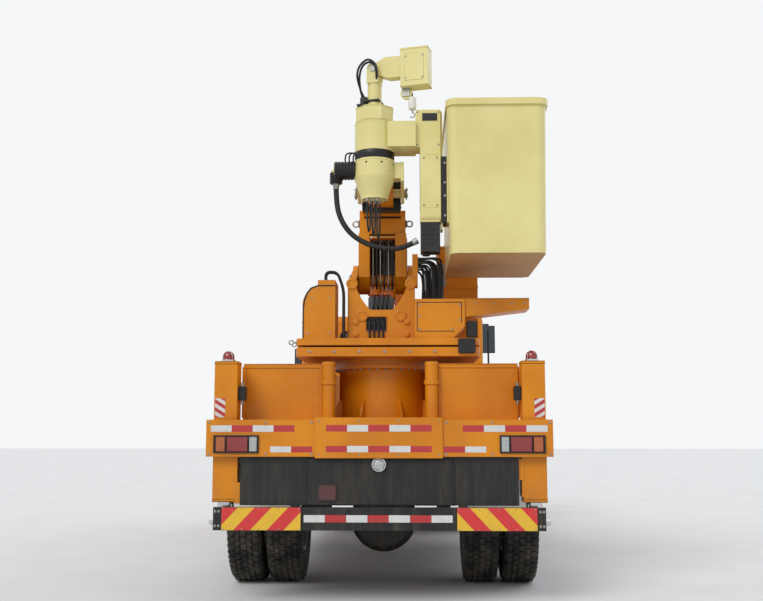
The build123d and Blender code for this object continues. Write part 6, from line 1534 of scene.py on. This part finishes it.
# Dashboard: dials and vents
dials, dial_faces, vents = new_meshes(3)
for k, (dx, r) in enumerate(((-0.10, 0.050), (0.02, 0.050), (0.10, 0.026))):
    at = Vector((-0.560 + dx, 2.672, 1.716))
    way = Vector((0, -0.88, 0.475))
    lathe(dials, [(r, 0), (r + 0.005, 0.001), (r + 0.005, 0.010), (r, 0.011), (r, 0.004), (0, 0.003)], at,
          way, 28)
    lathe(dial_faces, [(0, 0.0035), (r, 0.0045), (0, 0.0055)], at, way, 28)
for x in (-0.95, 0.0, 0.25, 0.95):
    for k in range(4):
        box(vents, (x - 0.06, 2.652 + k * 0.008, 1.668 + k * 0.013),
            (x + 0.06, 2.660 + k * 0.008, 1.674 + k * 0.013), 0.001, 1)
finish_all("chassis", ("dash_dials", dials, chrome), ("dash_dial_faces", dial_faces, white_paint),
           ("dash_vents", vents, grey_plastic))


# Tanks, battery box, guards and the deck's grip plate

straps, tank_caps, box_trim, guard_ends, deck_grip = new_meshes(5)
for y in (-0.80, 0.10):
    prism(straps, rounded((-1.1225, 0.4675), (-0.5575, 0.9325), 0.092, 8), (0, y + 0.025, 0), RIGHT, UP,
          0.050, 0.001, 1)
lathe(tank_caps, [(0.047, 0), (0.053, 0.002), (0.053, 0.026), (0.044, 0.032), (0, 0.033)],
      (-1.010, 0.130, 0.966), UP, 32)
for x in (0.700, 0.985):
    for y in (-1.40, -0.90):
        lathe(straps, [(0.1245, -0.020), (0.1275, -0.019), (0.1275, 0.019), (0.1245, 0.020)], (x, y, 0.735),
              FORWARD, 48, closed=True)
    for y, way in ((-1.650, -1), (-0.700, 1)):
        lathe(straps, [(0.1245, -0.012), (0.1275, -0.010), (0.118, 0.008), (0.080, 0.017), (0, 0.021)],
              (x, y, 0.735), (0, way, 0), 40)
    rod(tank_caps, (x, -1.18, 0.612), (x, -1.18, 0.590), 0.014, 14)
box(box_trim, (0.596, -0.434, 0.880), (1.124, 0.254, 0.936), 0.006, 3)
for y in (-0.25, 0.08):
    box(box_trim, (1.119, y - 0.030, 0.820), (1.127, y + 0.030, 0.905), 0.003)
for sign in SIGNS:
    for z in (0.520, 0.690, 0.860):
        for y, way in ((-1.980, -1), (0.380, 1)):
            box(guard_ends, (sign * 1.183, y - way * 0.006, z - 0.001),
                (sign * 1.214, y + way * 0.004, z + 0.101), 0.004)
    for z in (0.585, 0.755, 0.925):
        box(guard_ends, (sign * 1.2115, -1.940, z - 0.006), (sign * 1.2155, 0.340, z + 0.006), 0.0018)
finish_all("chassis", ("tank_straps", straps, steel), ("tank_cap", tank_caps, plastic),
           ("battery_box_lid", box_trim, black), ("side_guard_ends", guard_ends, plastic))
grip_pitch = 0.068
for row in range(int((0.50 + 3.93) / grip_pitch)):
    y = -3.93 + row * grip_pitch
    for column in range(36):
        x = -1.19 + column * grip_pitch + 0.034 * (row % 2)
        under_locker = 0.41 < abs(x) < 1.075 and -3.67 < y < -1.38
        under_pedestal = math.hypot(x, y + 3.0) < 0.42
        at_post = math.hypot(abs(x) - 0.38, y + 3.69) < 0.08
        at_leg = abs(y + 3.83) < 0.13 and abs(x) > 0.96
        past_edge = abs(x) > 1.20 or (y > 0.46 and abs(x) < 1.02)
        if under_locker or under_pedestal or at_post or at_leg or past_edge:
            continue
        turn = Matrix.Rotation(math.radians(45 if (row + column) % 2 else -45), 3, "Z")
        turned_box(deck_grip, (x, y, 1.3008), (0.040, 0.011, 0.0026), turn)
finish_piece("deck_grip", deck_grip, "chassis", orange)

# The springs' U-bolts
u_bolts = bmesh.new()
for y, x, low, high in ((1.880, 0.392, 0.420, 0.610), (-2.620, 0.495, 0.420, 0.730)):
    for sign in SIGNS:
        for dy in (-0.085, 0.085):
            for dx in (-0.045, 0.045):
                rod(u_bolts, (sign * x + dx, y + dy, low), (sign * x + dx, y + dy, high), 0.010, 10)
                hex_bolt(u_bolts, (sign * x + dx, y + dy, low + 0.01), DOWN, 0.015)
            tube(u_bolts, [(sign * x - 0.045, y + dy, high), (sign * x, y + dy, high + 0.012),
                           (sign * x + 0.045, y + dy, high)], 0.010, 10)
finish_piece("spring_u_bolts", u_bolts, "chassis", steel)
